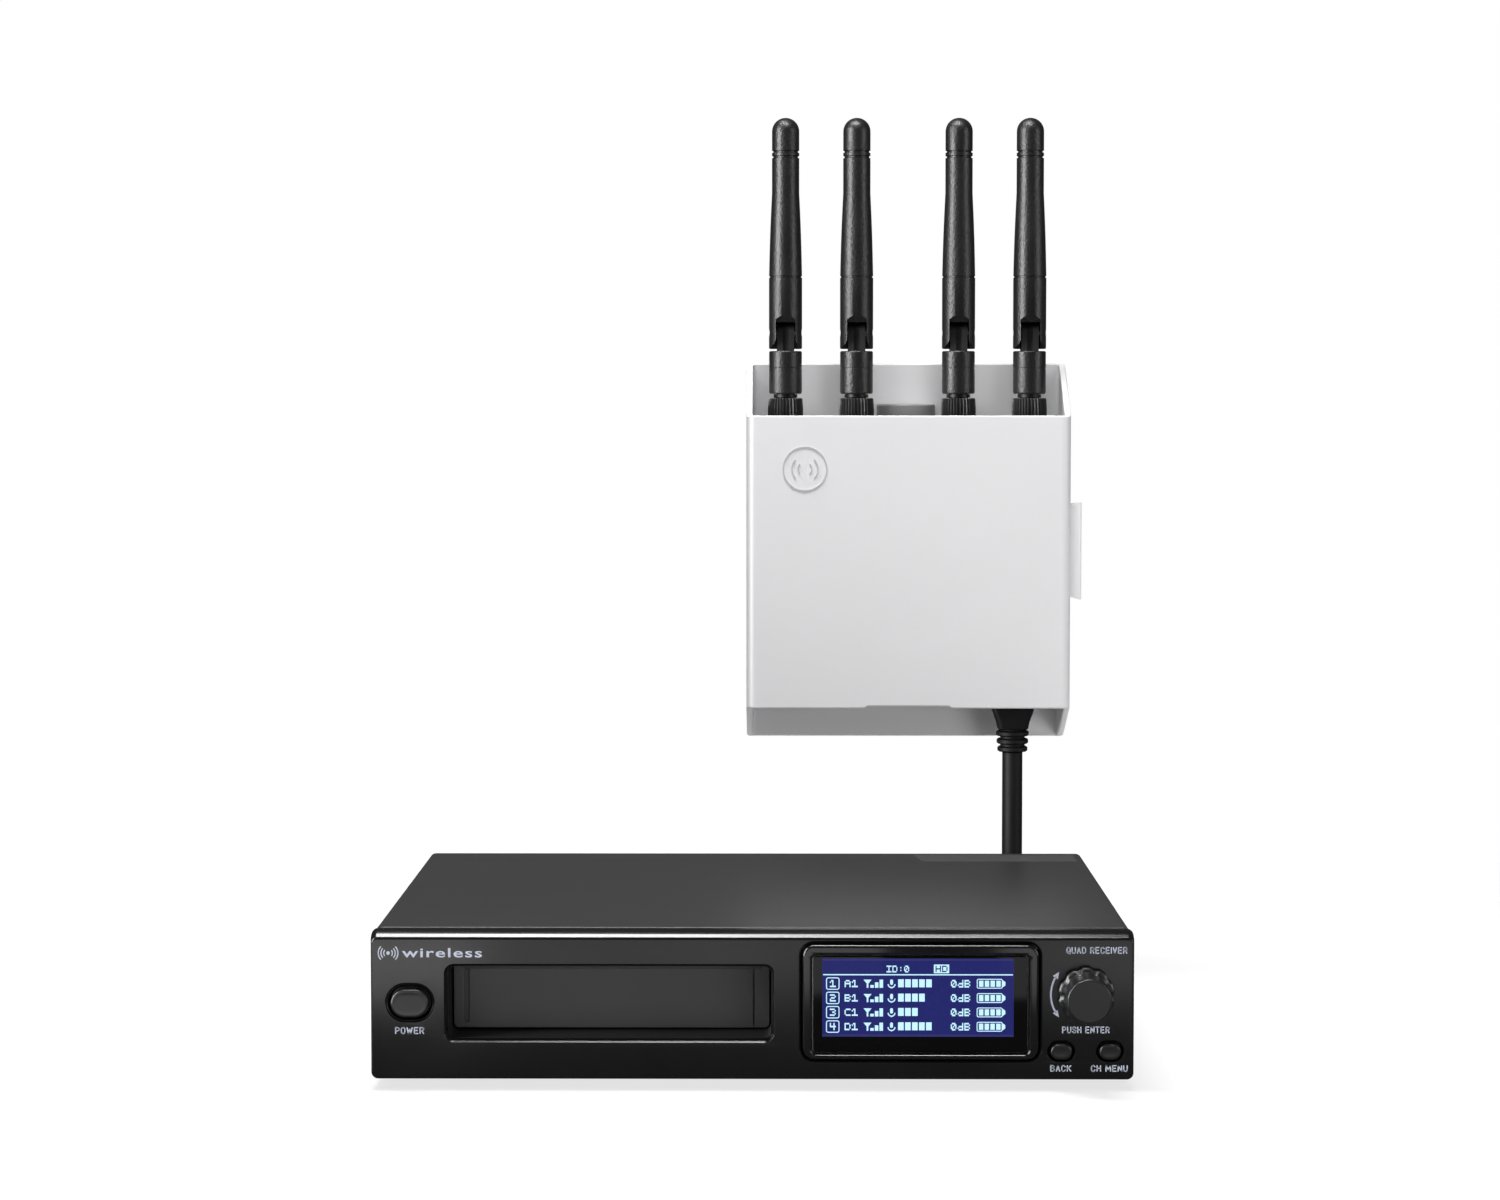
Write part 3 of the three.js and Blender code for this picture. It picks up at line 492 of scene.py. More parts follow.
def stepped(bm, shape, steps, place=ring_at_y):
    """A wall through (grow, level) steps of an outline. Gives its first and last rings."""
    rings = [place(bm, shape.grown(grow), level) for grow, level in steps]
    join_rings(bm, rings)
    return rings[0], rings[-1]


def faced_plate(bm, outer, outer_steps, holes):
    """A plate along y. outer_steps run from the front edge, round the side, to the back.

    holes is a list of (outline, steps) whose steps run from the front face to the back.
    """
    front, back = stepped(bm, outer, outer_steps)
    fronts, backs = [front], [back]
    for shape, steps in holes:
        first, last = stepped(bm, shape, steps)
        fronts.append(first)
        backs.append(last)
    fill(bm, *fronts)
    fill(bm, *backs)


def turned(bm, profile, x, y, segments=48, wave=None):
    """A solid of revolution about a vertical line, from (radius, z) points.

    wave(angle, index) scales the radius of one point of the profile.
    """
    rings = []
    for i, (radius, z) in enumerate(profile):
        if radius < 1e-6:
            rings.append([bm.verts.new((x, y, z))])
            continue
        ring = []
        for k in range(segments):
            angle = 2 * math.pi * k / segments
            r = radius * (wave(angle, i) if wave else 1)
            ring.append(bm.verts.new((x + r * math.cos(angle), y + r * math.sin(angle), z)))
        rings.append(ring)
    for first, second in zip(rings, rings[1:]):
        if len(first) == 1:
            cap(bm, second, first[0])
        elif len(second) == 1:
            cap(bm, first, second[0])
        else:
            bridge(bm, first, second)


def cap(bm, ring, tip):
    for k in range(len(ring)):
        bm.faces.new((ring[k], ring[(k + 1) % len(ring)], tip))


def turned_y(bm, profile, x, z, segments=48, wave=None):
    """The same about a line along y, from (radius, y) points."""
    start = len(bm.verts)
    turned(bm, profile, 0, 0, segments, wave)
    bm.verts.ensure_lookup_table()
    turn = Matrix.Translation((x, 0, z)) @ Matrix(((1, 0, 0, 0), (0, 0, 1, 0), (0, 1, 0, 0), (0, 0, 0, 1)))
    bmesh.ops.transform(bm, matrix=turn, verts=bm.verts[start:])


def block(bm, x, y, z):
    """A box from its ranges along each axis."""
    made = bmesh.ops.create_cube(bm, size=1)["verts"]
    scale = Matrix.Diagonal((x[1] - x[0], y[1] - y[0], z[1] - z[0], 1))
    middle = Matrix.Translation(((x[0] + x[1]) / 2, (y[0] + y[1]) / 2, (z[0] + z[1]) / 2))
    bmesh.ops.transform(bm, matrix=middle @ scale, verts=made)


def prism(bm, points, low, high, place=ring_at_y):
    """A straight prism between two levels."""
    first, second = place(bm, points, low), place(bm, points, high)
    bridge(bm, first, second)
    fill(bm, first)
    fill(bm, second)


def carved(solid, shape, *settings):
    """A new bmesh: solid, which is used up, less what shape(bmesh, *settings) draws."""
    tool = bmesh.new()
    shape(tool, *settings)
    objects = []
    for bm in (solid, tool):
        bmesh.ops.remove_doubles(bm, verts=bm.verts, dist=1e-4)
        bmesh.ops.recalc_face_normals(bm, faces=bm.faces)
        mesh = bpy.data.meshes.new("operand")
        bm.to_mesh(mesh)
        bm.free()
        objects.append(bpy.data.objects.new("operand", mesh))
        SCENE.collection.objects.link(objects[-1])
    base, cutter = objects
    modifier = base.modifiers.new("boolean", "BOOLEAN")
    modifier.operation = "DIFFERENCE"
    modifier.solver = "EXACT"
    modifier.object = cutter
    evaluated = base.evaluated_get(bpy.context.evaluated_depsgraph_get())
    result = bmesh.new()
    result.from_mesh(evaluated.to_mesh())
    evaluated.to_mesh_clear()
    for operand in objects:
        bpy.data.objects.remove(operand)
    return result


def copied(bm, offset):
    other = bm.copy()
    bmesh.ops.translate(other, verts=other.verts, vec=offset)
    return other


# ---- link cable

CORD_RADIUS = 3.3
CORD_DROP = [
    (83.6, 185, 75), (83.6, 185, 68), (83.6, 185, 60), (83.6, 185, 51), (83.6, 185, 42),
    (83.6, 185, 32.8), (83.6, 185.95, 25.55), (83.6, 188.75, 18.8), (83.6, 193.2, 13),
    (83.6, 199, 8.55), (83.6, 205.75, 5.75), (83.6, 213, 4.8),
]
CORD_LEAD = [
    (4.9, 213, 11.7), (4.9, 206, 12), (4.9, 199, 12.35), (4.9, 191, 12.58), (4.9, 182.9, 12.6),
]
COIL_TURNS = 3.5
COIL_STEP = 15  # degrees between the points of the coil


def eased(value, start, end):
    t = min(1, max(0, (value - start) / (end - start)))
    return t * t * (3 - 2 * t)


def coil_route():
    """The coil's turns: outside and inside below, then inside and outside above."""
    low, high = mm_box("link_cord_coil")
    centre = (low + high) / 2
    middle = (high.x - low.x) / 2 - 2 * CORD_RADIUS - 0.2
    spread = CORD_RADIUS + 0.05
    bottom = low.z + CORD_RADIUS + 0.1
    rise = high.z - low.z - 2 * CORD_RADIUS - 0.2
    route = []
    for step in range(int(COIL_TURNS * 360 / COIL_STEP) + 1):
        turn = step * COIL_STEP
        inward = eased(turn, 300, 360) - eased(turn, 900, 960)
        radius = middle + spread * (1 - 2 * inward)
        level = bottom + rise * eased(turn, 600, 660)
        angle = math.radians(turn)
        x = centre.x + radius * math.cos(angle)
        route.append((x, centre.y + radius * math.sin(angle), level))
    return route


def route_length(points):
    pairs = zip(points, points[1:])
    return sum((Vector(b) - Vector(a)).length for a, b in pairs)


def add_cord():
    """The cable from the antenna unit down, round its coil, and into the receiver's back."""
    route = CORD_DROP + coil_route() + CORD_LEAD
    data = bpy.data.curves.new("link_cable", "CURVE")
    data.dimensions = "3D"
    data.bevel_depth = CORD_RADIUS * MM
    data.bevel_resolution = 5
    data.resolution_u = 4
    data.use_fill_caps = True
    spline = data.splines.new("BEZIER")
    spline.bezier_points.add(len(route) - 1)
    for point, place in zip(spline.bezier_points, route):
        point.co = UNIT @ Vector(place)
        point.handle_left_type = point.handle_right_type = "AUTO"
    data.materials.append(MAT["cable_black"])
    cable = bpy.data.objects.new("link_cable", data)
    SCENE.collection.objects.link(cable)
    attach(cable, "root")
    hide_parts("link_cord_drop", "link_cord_coil", "link_cord_lead")
    return cable, route_length(route)


def build_plug(bm):
    """A network plug's boot pointing up, with the socket's mouth at z = 0."""
    block(bm, (-5.65, 5.65), (-3.95, 3.95), (-1.5, 10.5))
    levels = [
        (-8.9, 4.4, 4.2), (-8.6, 4.9, 4.6), (-6.5, 5.3, 5.0), (-4.0, 6.2, 5.1), (-2.6, 6.7, 5.1),
        (-2.0, 6.75, 5.1), (-0.9, 6.75, 5.1), (-0.6, 6.4, 4.8),
    ]
    rings = []
    for z, half_x, half_y in levels:
        points = rounded(-half_x, half_x, -half_y, half_y, 1.8, 6)
        rings.append(ring_at_z(bm, points, z))
    join_rings(bm, rings)
    fill(bm, rings[0])
    fill(bm, rings[-1])
    # Three soft rings that narrow towards the cable.
    profile = [(0, -16.2)]
    for k, radius in enumerate((4.9, 5.15, 5.35)):
        low = -16.2 + k * 2.55
        profile += [(radius - 0.5, low), (radius, low + 0.4), (radius, low + 1.35)]
        profile += [(radius - 0.45, low + 1.75), (4.0, low + 1.85), (4.0, low + 2.45)]
    profile += [(3.9, -8.2), (0, -8.2)]
    turned(bm, profile, 0, 0, 48)


def add_plug(name, node, matrix):
    bm = bmesh.new()
    build_plug(bm)
    bm.transform(matrix)
    return new_piece(name, bm, "cable_black", stands_for=(node,), sharp=40)


MODULE_LOW = mm_box("module_shell_front")[0]
JACK_LOW, JACK_HIGH = mm_box("module_jack")
JACK_X = (JACK_LOW.x + JACK_HIGH.x) / 2
ANTENNA_Y = (JACK_LOW.y + JACK_HIGH.y) / 2
PORT_X, PORT_Z = middle_of("antenna_port")
PORT_BACK = mm_box("antenna_port")[1].y

top_plug = add_plug(
    "link_plug_top_boot",
    "link_plug_top",
    Matrix.Translation((JACK_X, ANTENNA_Y, MODULE_LOW.z)),
)
rear_plug = add_plug(
    "link_plug_rear_boot",
    "link_plug_rear",
    Matrix.Translation((PORT_X, PORT_BACK + 0.3, PORT_Z)) @ Matrix.Rotation(math.pi / 2, 4, "X"),
)


TIE_THICKNESS = 0.8


def add_tie():
    """A hook-and-loop strap round the coil."""
    low, high = mm_box("link_coil_tie")
    t = TIE_THICKNESS

    def build(bm):
        outer = Outline(low.y, high.y, low.z, high.z, 2.6).grown(0)
        inner = Outline(low.y + t, high.y - t, low.z + t, high.z - t, 1.9).grown(0)
        outside, inside = [
            [ring_at_x(bm, points, x) for x in (low.x + 0.2, high.x - 0.2)] for points in (outer, inner)
        ]
        join_rings(bm, [inside[0], outside[0], outside[1], inside[1], inside[0]])

    return new_piece("link_coil_strap", build, "tie_fabric", stands_for=("link_coil_tie",))


coil_strap = add_tie()
link_cable, cable_length = add_cord()


# ---- labels


def text_bmesh(words):
    """The outline of some words in the built-in font, as a flat bmesh in the x-z plane."""
    data = bpy.data.curves.new("words", "FONT")
    data.body = words
    data.size = 1
    data.extrude = 0.01
    data.offset = 0.012
    data.space_character = 1.12
    data.resolution_u = 4
    holder = bpy.data.objects.new("words", data)
    SCENE.collection.objects.link(holder)
    evaluated = holder.evaluated_get(bpy.context.evaluated_depsgraph_get())
    bm = bmesh.new()
    bm.from_mesh(evaluated.to_mesh())
    evaluated.to_mesh_clear()
    bpy.data.objects.remove(holder)
    bmesh.ops.remove_doubles(bm, verts=bm.verts, dist=1e-5)
    return bm


def extents(bm):
    xs = [v.co.x for v in bm.verts]
    ys = [v.co.y for v in bm.verts]
    return min(xs), max(xs), min(ys), max(ys)


def add_words(name, words, left, right, low, high):
    """Printed words that fill a box on the front panel."""
    bm = text_bmesh(words)
    x0, x1, y0, y1 = extents(bm)
    scale_x = (right - left) / (x1 - x0)
    scale_z = (high - low) / (y1 - y0)
    for v in bm.verts:
        x, y, raised = v.co
        v.co = (left + (x - x0) * scale_x, -0.02 - raised, low + (y - y0) * scale_z)
    new_piece(name, bm, "print_white")


REAR_FACE = 165.8  # y of the rear panel's outside
# Each capital as points "x,y" joined by lines, in a box one wide and one high. A slash
# starts a new stroke.
STROKES = {
    "1": "0,.8 .5,1 .5,0",
    "2": "0,.8 .28,1 .72,1 1,.8 1,.6 0,0 1,0",
    "3": "0,1 1,1 .45,.6 .72,.58 1,.4 1,.18 .72,0 0,0",
    "4": ".75,0 .75,1 0,.3 1,.3",
    "A": "0,0 .5,1 1,0/.2,.33 .8,.33",
    "B": "0,0 0,1 .65,1 .95,.85 .95,.67 .65,.53 0,.53/.65,.53 1,.38 1,.16 .68,0 0,0",
    "C": "1,.76 .72,1 .28,1 0,.78 0,.22 .28,0 .72,0 1,.24",
    "D": "0,0 0,1 .62,1 1,.78 1,.22 .62,0 0,0",
    "E": "1,1 0,1 0,0 1,0/0,.52 .85,.52",
    "H": "0,0 0,1/1,0 1,1/0,.52 1,.52",
    "I": "0,0 0,1",
    "K": "0,0 0,1/1,1 0,.4/.32,.6 1,0",
    "L": "0,1 0,0 .9,0",
    "M": "0,0 0,1 .5,.25 1,1 1,0",
    "N": "0,0 0,1 1,0 1,1",
    "O": ".28,0 .72,0 1,.22 1,.78 .72,1 .28,1 0,.78 0,.22 .28,0",
    "P": "0,0 0,1 .66,1 1,.84 1,.62 .66,.45 0,.45",
    "R": "0,0 0,1 .66,1 1,.84 1,.64 .66,.48 0,.48/.55,.48 1,0",
    "S": "1,.78 .72,1 .28,1 0,.82 0,.66 .28,.54 .72,.46 1,.34 1,.18 .72,0 .28,0 0,.22",
    "T": "0,1 1,1/.5,1 .5,0",
    "U": "0,1 0,.22 .28,0 .72,0 1,.22 1,1",
    "V": "0,1 .5,0 1,1",
    "W": "0,1 .25,0 .5,.85 .75,0 1,1",
    "X": "0,0 1,1/0,1 1,0",
}
STROKES["Q"] = STROKES["O"] + "/.6,.25 1.05,-.1"
LETTER_WIDTHS = {"I": 0.0, "M": 1.3, "W": 1.45, " ": 0.35}
LETTER_GAP = 0.62  # between letters, as a share of a letter's width, the stroke included
STROKE = 0.31  # thickness of the strokes in millimetres
INK = 0.04  # how far the printed marks stand off the panel


def add_capitals(name, words, left, right, low, high, rear=False):
    """Printed capitals of even strokes that fill a box on the front or the rear panel."""
    half = STROKE / 2
    widths = [LETTER_WIDTHS.get(letter, 1.0) for letter in words]
    share = (right - left - STROKE) / (sum(widths) + LETTER_GAP * (len(words) - 1))

    def place(p):
        return (left + right - p.x, REAR_FACE + 0.03, p.y) if rear else (p.x, -0.03, p.y)

    def build(bm):
        x = left + half
        for letter, width in zip(words, widths):
            for stroke in STROKES.get(letter, "").split("/"):
                spots = []
                for point in stroke.split():
                    u, v = map(float, point.split(","))
                    across_letter = x + u * width * share
                    spots.append(Vector((across_letter, low + half + v * (high - low - STROKE))))
                for a, b in zip(spots, spots[1:]):
                    along = (b - a).normalized() * half
                    across = Vector((-along.y, along.x))
                    ends = [a - along * 0.6, b + along * 0.6]
                    quad = [ends[0] - across, ends[1] - across, ends[1] + across, ends[0] + across]
                    bm.faces.new([bm.verts.new(place(p)) for p in quad])
            x += (width + LETTER_GAP) * share

    new_piece(name, build, "print_white", merge=False)


add_capitals("label_power", "POWER", -98.2, -90.2, 15.65, 17.6)
add_capitals("label_push_enter", "PUSH ENTER", 85.1, 98.2, 16.1, 18.0)
add_capitals("label_back", "BACK", 81.9, 87.7, 5.45, 7.3)
add_capitals("label_ch_menu", "CH MENU", 93.1, 103.2, 5.45, 7.3)
add_capitals("label_quad_receiver", "QUAD RECEIVER", 86.2, 102.9, 38.1, 40.0)
add_words("label_wireless", "wireless", -96.2, -74.2, 36.9, 39.5)


def add_wave_icon():
    """A plain radio-wave mark: a dot with arcs on both sides."""

    def build(bm):
        x, z = -100.0, 38.1
        prism(bm, round_outline(x, z, 0.5).grown(0), -INK, 0)
        for side in (0, 180):
            for radius in (1.2, 1.95, 2.7):
                points = arc(x, z, radius + 0.15, side - 42, side + 42, 12)
                points += arc(x, z, radius - 0.15, side + 42, side - 42, 12)
                prism(bm, points, -INK, 0)

    new_piece("wave_icon", build, "print_white")


def add_turn_arrow():
    """The double-headed arc beside the dial."""
    x, z = middle_of("dial_knob")
    radius = 9.6

    def build(bm):
        points = arc(x, z, radius + 0.24, 149, 211, 18)
        points += arc(x, z, radius - 0.24, 211, 149, 18)
        prism(bm, points, -INK, 0)
        for angle, way in ((146, -1), (214, 1)):
            a = math.radians(angle)
            middle = Vector((x + radius * math.cos(a), z + radius * math.sin(a)))
            along = Vector((-math.sin(a), math.cos(a))) * way
            across = Vector((math.cos(a), math.sin(a)))
            tip = middle + along * 1.1
            base = middle - along * 0.8
            head = [tip, base + across * 0.8, base - across * 0.8]
            prism(bm, [tuple(p) for p in head], -INK, 0)

    new_piece("turn_arrow", build, "print_white")


add_wave_icon()
add_turn_arrow()


# ---- receiver: front panel

POWER = obround(-94.1, 24.3, 10.4, 7.7)
BACK_KEY = obround(84.9, 11.1, 5.9, 4.2)
MENU_KEY = obround(98.3, 11.1, 5.9, 4.2)
BAY = Outline(-83.8, 5.2, 14.25, 34.2, 1.8)
BEZEL = Outline(13.8, 78.7, 8.8, 40.6, 3.2)
WINDOW = Outline(16.5, 75.9, 10.4, 37.6, 1.2)
PLATE_BACK = 2.5


class PanelOutline(Outline):
    """The panel's outline. Its top edge is rounded more than its sides and bottom."""

    def grown(self, by):
        left, right, low, high = self.sides
        share = min(1, -by / EDGE_TOP)
        side = -EDGE_SIDE * share**3 + min(0, by + EDGE_TOP) * EDGE_SIDE / EDGE_TOP
        radius = self.radius + side
        return rounded(left - side, right + side, low - side, high + by, radius, self.steps)


EDGE_TOP = 2.6
EDGE_SIDE = 0.8


def build_front_panel(bm):
    """The tray-shaped panel: a softly rounded edge, and a dished rim round each opening."""
    outer = PanelOutline(-105, 105, 3, 44.4, 1.9, 8)
    edge = [(-2.6, 0), (-2.35, 0.03), (-2.1, 0.14), (-1.93, 0.29), (-1.87, 0.36), (-1.82, 0.42)]
    edge += [(-1.2, 1.18), (-1.15, 1.25), (-0.95, 1.55), (-0.72, 1.95), (-0.48, 2.45)]
    edge += [(-0.25, 3.05), (-0.08, 3.7), (0, 4.4), (-0.1, 5.5), (-0.45, 7.1), (-0.7, 7.4)]
    edge += [(-5.2, 7.4), (-5.4, 7.2), (-5.4, PLATE_BACK)]
    bay_rim = [(0.95, 0), (0.9, 0.03), (0.86, 0.08), (0.48, 0.53), (0.43, 0.62), (0.1, 1.5), (0, 1.8)]
    dish = [(1.1, 0), (0.98, 0.03), (0.84, 0.12), (0.72, 0.26), (0.66, 0.42), (0.56, 0.9), (0.42, 1.2)]
    dish += [(0.3, 1.4), (0.3, PLATE_BACK)]
    power_dish = [(1.75, 0), (1.6, 0.03), (1.45, 0.12), (1.32, 0.26), (1.25, 0.4), (1.0, 0.45)]
    power_dish += [(0.94, 0.5), (0.66, 0.84), (0.6, 0.95), (0.36, 1.7), (0.3, PLATE_BACK)]
    snug = [(1.05, 0), (0.95, 0.04), (0.7, 0.2), (0.45, 0.5), (0.32, 0.9), (0.3, PLATE_BACK)]
    holes = [
        (BAY, bay_rim + [(0, PLATE_BACK)]),
        (BEZEL, snug), (POWER, power_dish), (BACK_KEY, dish), (MENU_KEY, dish),
        (round_outline(91.6, 26.8, 4), [(0.1, 0), (0, 0.1), (0, PLATE_BACK)]),
    ]
    faced_plate(bm, outer, edge, holes)


new_piece(
    "front_panel_shell", build_front_panel, "panel_black", stands_for=("front_panel",), sharp=50
)


def build_bezel(bm):
    """The raised frame round the display."""
    outer = [(-0.85, -0.85), (-0.5, -0.78), (-0.2, -0.55), (-0.04, -0.2), (0, 0.2), (0, 2.2)]
    inner = [(0.75, -0.85), (0.55, -0.8), (0.3, -0.55), (0.06, -0.1), (0, 0.15), (0, 2.2)]
    faced_plate(bm, BEZEL, outer, [(WINDOW, inner)])


new_piece("display_frame", build_bezel, "gloss_black", stands_for=("display_bezel",), sharp=50)


def build_lens(bm):
    outer = [(-0.55, 0.6), (-0.4, 0.65), (-0.3, 0.8), (-0.3, 1.8)]
    faced_plate(bm, WINDOW, outer, [])


new_piece("display_lens", build_lens, "lens_black", stands_for=("display_window",))


# ---- receiver: display picture

SCREEN = Outline(19.3, 71.8, 15.6, 36.0, 0.05, 1)
SCREEN_FACE = 0.56
PIXEL_FACE = 0.52
RAISED = 0.03  # thickness of what is drawn on the display
DOT = (0.31, 0.36)  # width and height of one dot of the display's lettering
ROW_TOP = 29.7
ROW_PITCH = 3.97

GLYPHS = {
    "0": [".###.", "#..##", "#.#.#", "##..#", ".###."],
    "1": [".##..", "#.#..", "..#..", "..#..", "#####"],
    "2": ["####.", "....#", ".###.", "#....", "#####"],
    "3": ["####.", "....#", "..##.", "....#", "####."],
    "4": ["#..#.", "#..#.", "#####", "...#.", "...#."],
    "A": [".###.", "#...#", "#####", "#...#", "#...#"],
    "B": ["####.", "#...#", "####.", "#...#", "####."],
    "C": [".####", "#....", "#....", "#....", ".####"],
    "D": ["####.", "#...#", "#...#", "#...#", "####."],
    "H": ["#...#", "#...#", "#####", "#...#", "#...#"],
    "I": ["#####", "..#..", "..#..", "..#..", "#####"],
    "d": ["....#", "....#", ".####", "#...#", ".####"],
    ":": [".....", "..#..", ".....", "..#..", "....."],
}


def screen_box(bm, left, right, low, high, face=PIXEL_FACE):
    block(bm, (left, right), (face, face + RAISED), (low, high))


def write(bm, words, left, middle, width=DOT[0], height=0.48, face=PIXEL_FACE):
    """Dot-matrix lettering, from the left edge, centred on the height middle."""
    for word_index, letter in enumerate(words):
        x0 = left + word_index * 6 * width
        for row, line in enumerate(GLYPHS[letter]):
            top = middle + (2.5 - row) * height
            runs = line.replace(".", " ").split(" ")
            column = 0
            for run in runs:
                if run:
                    x = x0 + column * width
                    screen_box(bm, x, x + len(run) * width, top - height, top, face)
                column += len(run) + 1


def frame_box(bm, left, right, low, high, line=0.26, corner=0.45):
    """The outline of a box with rounded corners."""
    outer = rounded(left, right, low, high, corner, 3)
    inner = rounded(left + line, right - line, low + line, high - line, corner - line, 3)
    front = [ring_at_y(bm, points, PIXEL_FACE) for points in (outer, inner)]
    back = [ring_at_y(bm, points, PIXEL_FACE + RAISED) for points in (outer, inner)]
    bridge(bm, front[0], front[1])
    bridge(bm, front[0], back[0])
    bridge(bm, front[1], back[1])
    bridge(bm, back[0], back[1])


def signal_icon(bm, x, z):
    """A small aerial and three rising bars."""
    cup = [(x, z + 1.1), (x + 0.85, z + 0.05), (x + 1.35, z + 0.05), (x + 2.2, z + 1.1)]
    prism(bm, cup, PIXEL_FACE, PIXEL_FACE + RAISED)
    screen_box(bm, x + 0.87, x + 1.33, z - 1.15, z + 0.3)
    for k, height in enumerate((0.75, 1.5, 2.25)):
        left = x + 1.85 + k * 1.27
        screen_box(bm, left, left + 0.97, z - 1.15, z - 1.15 + height)


def microphone_icon(bm, x, z):
    """A capsule in its cradle, on a short stand."""
    capsule = rounded(x + 0.7, x + 1.5, z - 0.35, z + 1.15, 0.39, 4)
    prism(bm, capsule, PIXEL_FACE, PIXEL_FACE + RAISED)
    cradle = arc(x + 1.1, z - 0.15, 1.1, 180, 360, 12)
    cradle += arc(x + 1.1, z - 0.15, 0.78, 360, 180, 12)
    prism(bm, cradle, PIXEL_FACE, PIXEL_FACE + RAISED)
    screen_box(bm, x + 0.95, x + 1.25, z - 1.3, z - 0.9)


def battery_icon(bm, x, z):
    """A full battery with four cells and a pointed terminal."""
    frame_box(bm, x, x + 7.1, z - 1.35, z + 1.35, 0.24)
    nub = [(x + 7.1, z - 1.0), (x + 7.85, z - 0.45), (x + 7.85, z + 0.45), (x + 7.1, z + 1.0)]
    prism(bm, nub, PIXEL_FACE, PIXEL_FACE + RAISED)
    for k in range(4):
        left = x + 0.62 + k * 1.58
        screen_box(bm, left, left + 1.2, z - 0.85, z + 0.85)


def build_pixels(bm):
    screen_box(bm, 19.5, 71.6, 32.0, 32.32)
    write(bm, "ID:0", 36.9, 33.75, 0.27, 0.38)
    for row, (name, blocks) in enumerate((("A1", 5), ("B1", 4), ("C1", 3), ("D1", 5))):
        z = ROW_TOP - row * ROW_PITCH
        frame_box(bm, 20.3, 24.0, z - 1.72, z + 1.72, 0.26, 0.6)
        write(bm, str(row + 1), 21.35, z, 0.33, 0.4)
        write(bm, name, 25.4, z, 0.33, 0.4)
        signal_icon(bm, 30.6, z)
        microphone_icon(bm, 37.2, z)
        for k in range(blocks):
            left = 40.1 + k * 1.92
            screen_box(bm, left, left + 1.55, z - 1.0, z + 1.2)
        write(bm, "0dB", 54.6, z, 0.31, 0.42)
        battery_icon(bm, 61.7, z)


def build_screen(bm):
    prism(bm, SCREEN.grown(0), SCREEN_FACE, SCREEN_FACE + RAISED)


def build_screen_edge(bm):
    border = rounded(19.25, 71.85, 15.0, 36.65, 0.1, 2)
    prism(bm, border, SCREEN_FACE + 0.01, SCREEN_FACE + 0.035)


def build_badge(bm):
    screen_box(bm, 49.9, 54.1, 32.6, 35.0)


def build_badge_letters(bm):
    write(bm, "HD", 50.35, 33.8, 0.3, 0.36, PIXEL_FACE - RAISED)


for name, build, material in (
    ("screen_edge", build_screen_edge, "lcd_edge"),
    ("screen", build_screen, "lcd_blue"),
    ("screen_pixels", build_pixels, "lcd_pixel"),
    ("screen_badge", build_badge, "lcd_pixel"),
    ("screen_badge_letters", build_badge_letters, "lcd_blue"),
):
    new_piece(name, build, material)


# ---- receiver: controls


def build_key(shape, proud, stem_end):
    """A key cap with a rounded rim and a face that is slightly hollow."""

    def build(bm):
        steps = [(0, 3.3), (0, -proud + 0.55), (-0.08, -proud + 0.25), (-0.3, -proud + 0.05)]
        steps += [(-0.55, -proud), (-0.9, -proud + 0.04), (-1.5, -proud + 0.1)]
        first, last = stepped(bm, shape, steps)
        fill(bm, first)
        fill(bm, last)
        left, right, low, high = shape.sides
        flange = Outline(left - 1.2, right + 1.2, low - 1.2, high + 1.2, (high - low) / 2 + 1.2)
        prism(bm, flange.grown(0), 2.9, 3.8)
        x, z = (left + right) / 2, (low + high) / 2
        turned_y(bm, [(0, 3.6), (1.4, 3.6), (1.4, stem_end), (0, stem_end)], x, z, 24)

    return build


for name, shape, proud, stem_end in (
    ("power", POWER, 1.4, 7.7),
    ("back", BACK_KEY, 1.2, 8.2),
    ("ch_menu", MENU_KEY, 1.2, 8.2),
):
    cap_shape = build_key(shape, proud, stem_end)
    body, node = f"{name}_button_body", f"{name}_button"
    new_piece(f"{name}_key", cap_shape, "key_black", body, (node,), sharp=50)

DIAL_LOBES = 10


def build_dial(bm):
    """A lobed skirt, a fluted grip that narrows forwards, and a flat face."""
    x, z = middle_of("dial_knob")
    # (radius, y, depth of the flutes as a share of the radius)
    levels = [
        (2.4, -9.7, 0), (2.4, -2.6, 0), (3.9, -2.6, 0), (3.9, -1.0, 0), (7.3, -1.0, 0.05),
        (7.7, -1.2, 0.055), (7.85, -1.6, 0.06), (7.85, -2.5, 0.06), (7.65, -2.9, 0.06),
        (6.7, -3.15, 0.07), (6.55, -3.6, 0.08), (6.45, -7.0, 0.075), (6.3, -10.4, 0.06),
        (6.2, -11.3, 0.03), (6.05, -11.6, 0.01), (5.8, -11.85, 0), (5.5, -11.88, 0), (0, -11.7, 0),
    ]

    def wave(angle, index):
        depth = levels[index][2]
        ridge = 0.5 + 0.5 * math.cos(DIAL_LOBES * (angle - math.pi / 2))
        return 1 - depth * (1 - min(1, 1.6 * ridge))

    profile = [(0, -9.7)] + [(r, y) for r, y, _ in levels]
    levels.insert(0, (0, -9.7, 0))
    turned_y(bm, profile, x, z, 160, wave)


new_piece("dial_grip", build_dial, "knob_black", "dial_body", ("dial_knob",), sharp=55)


# ---- receiver: bay


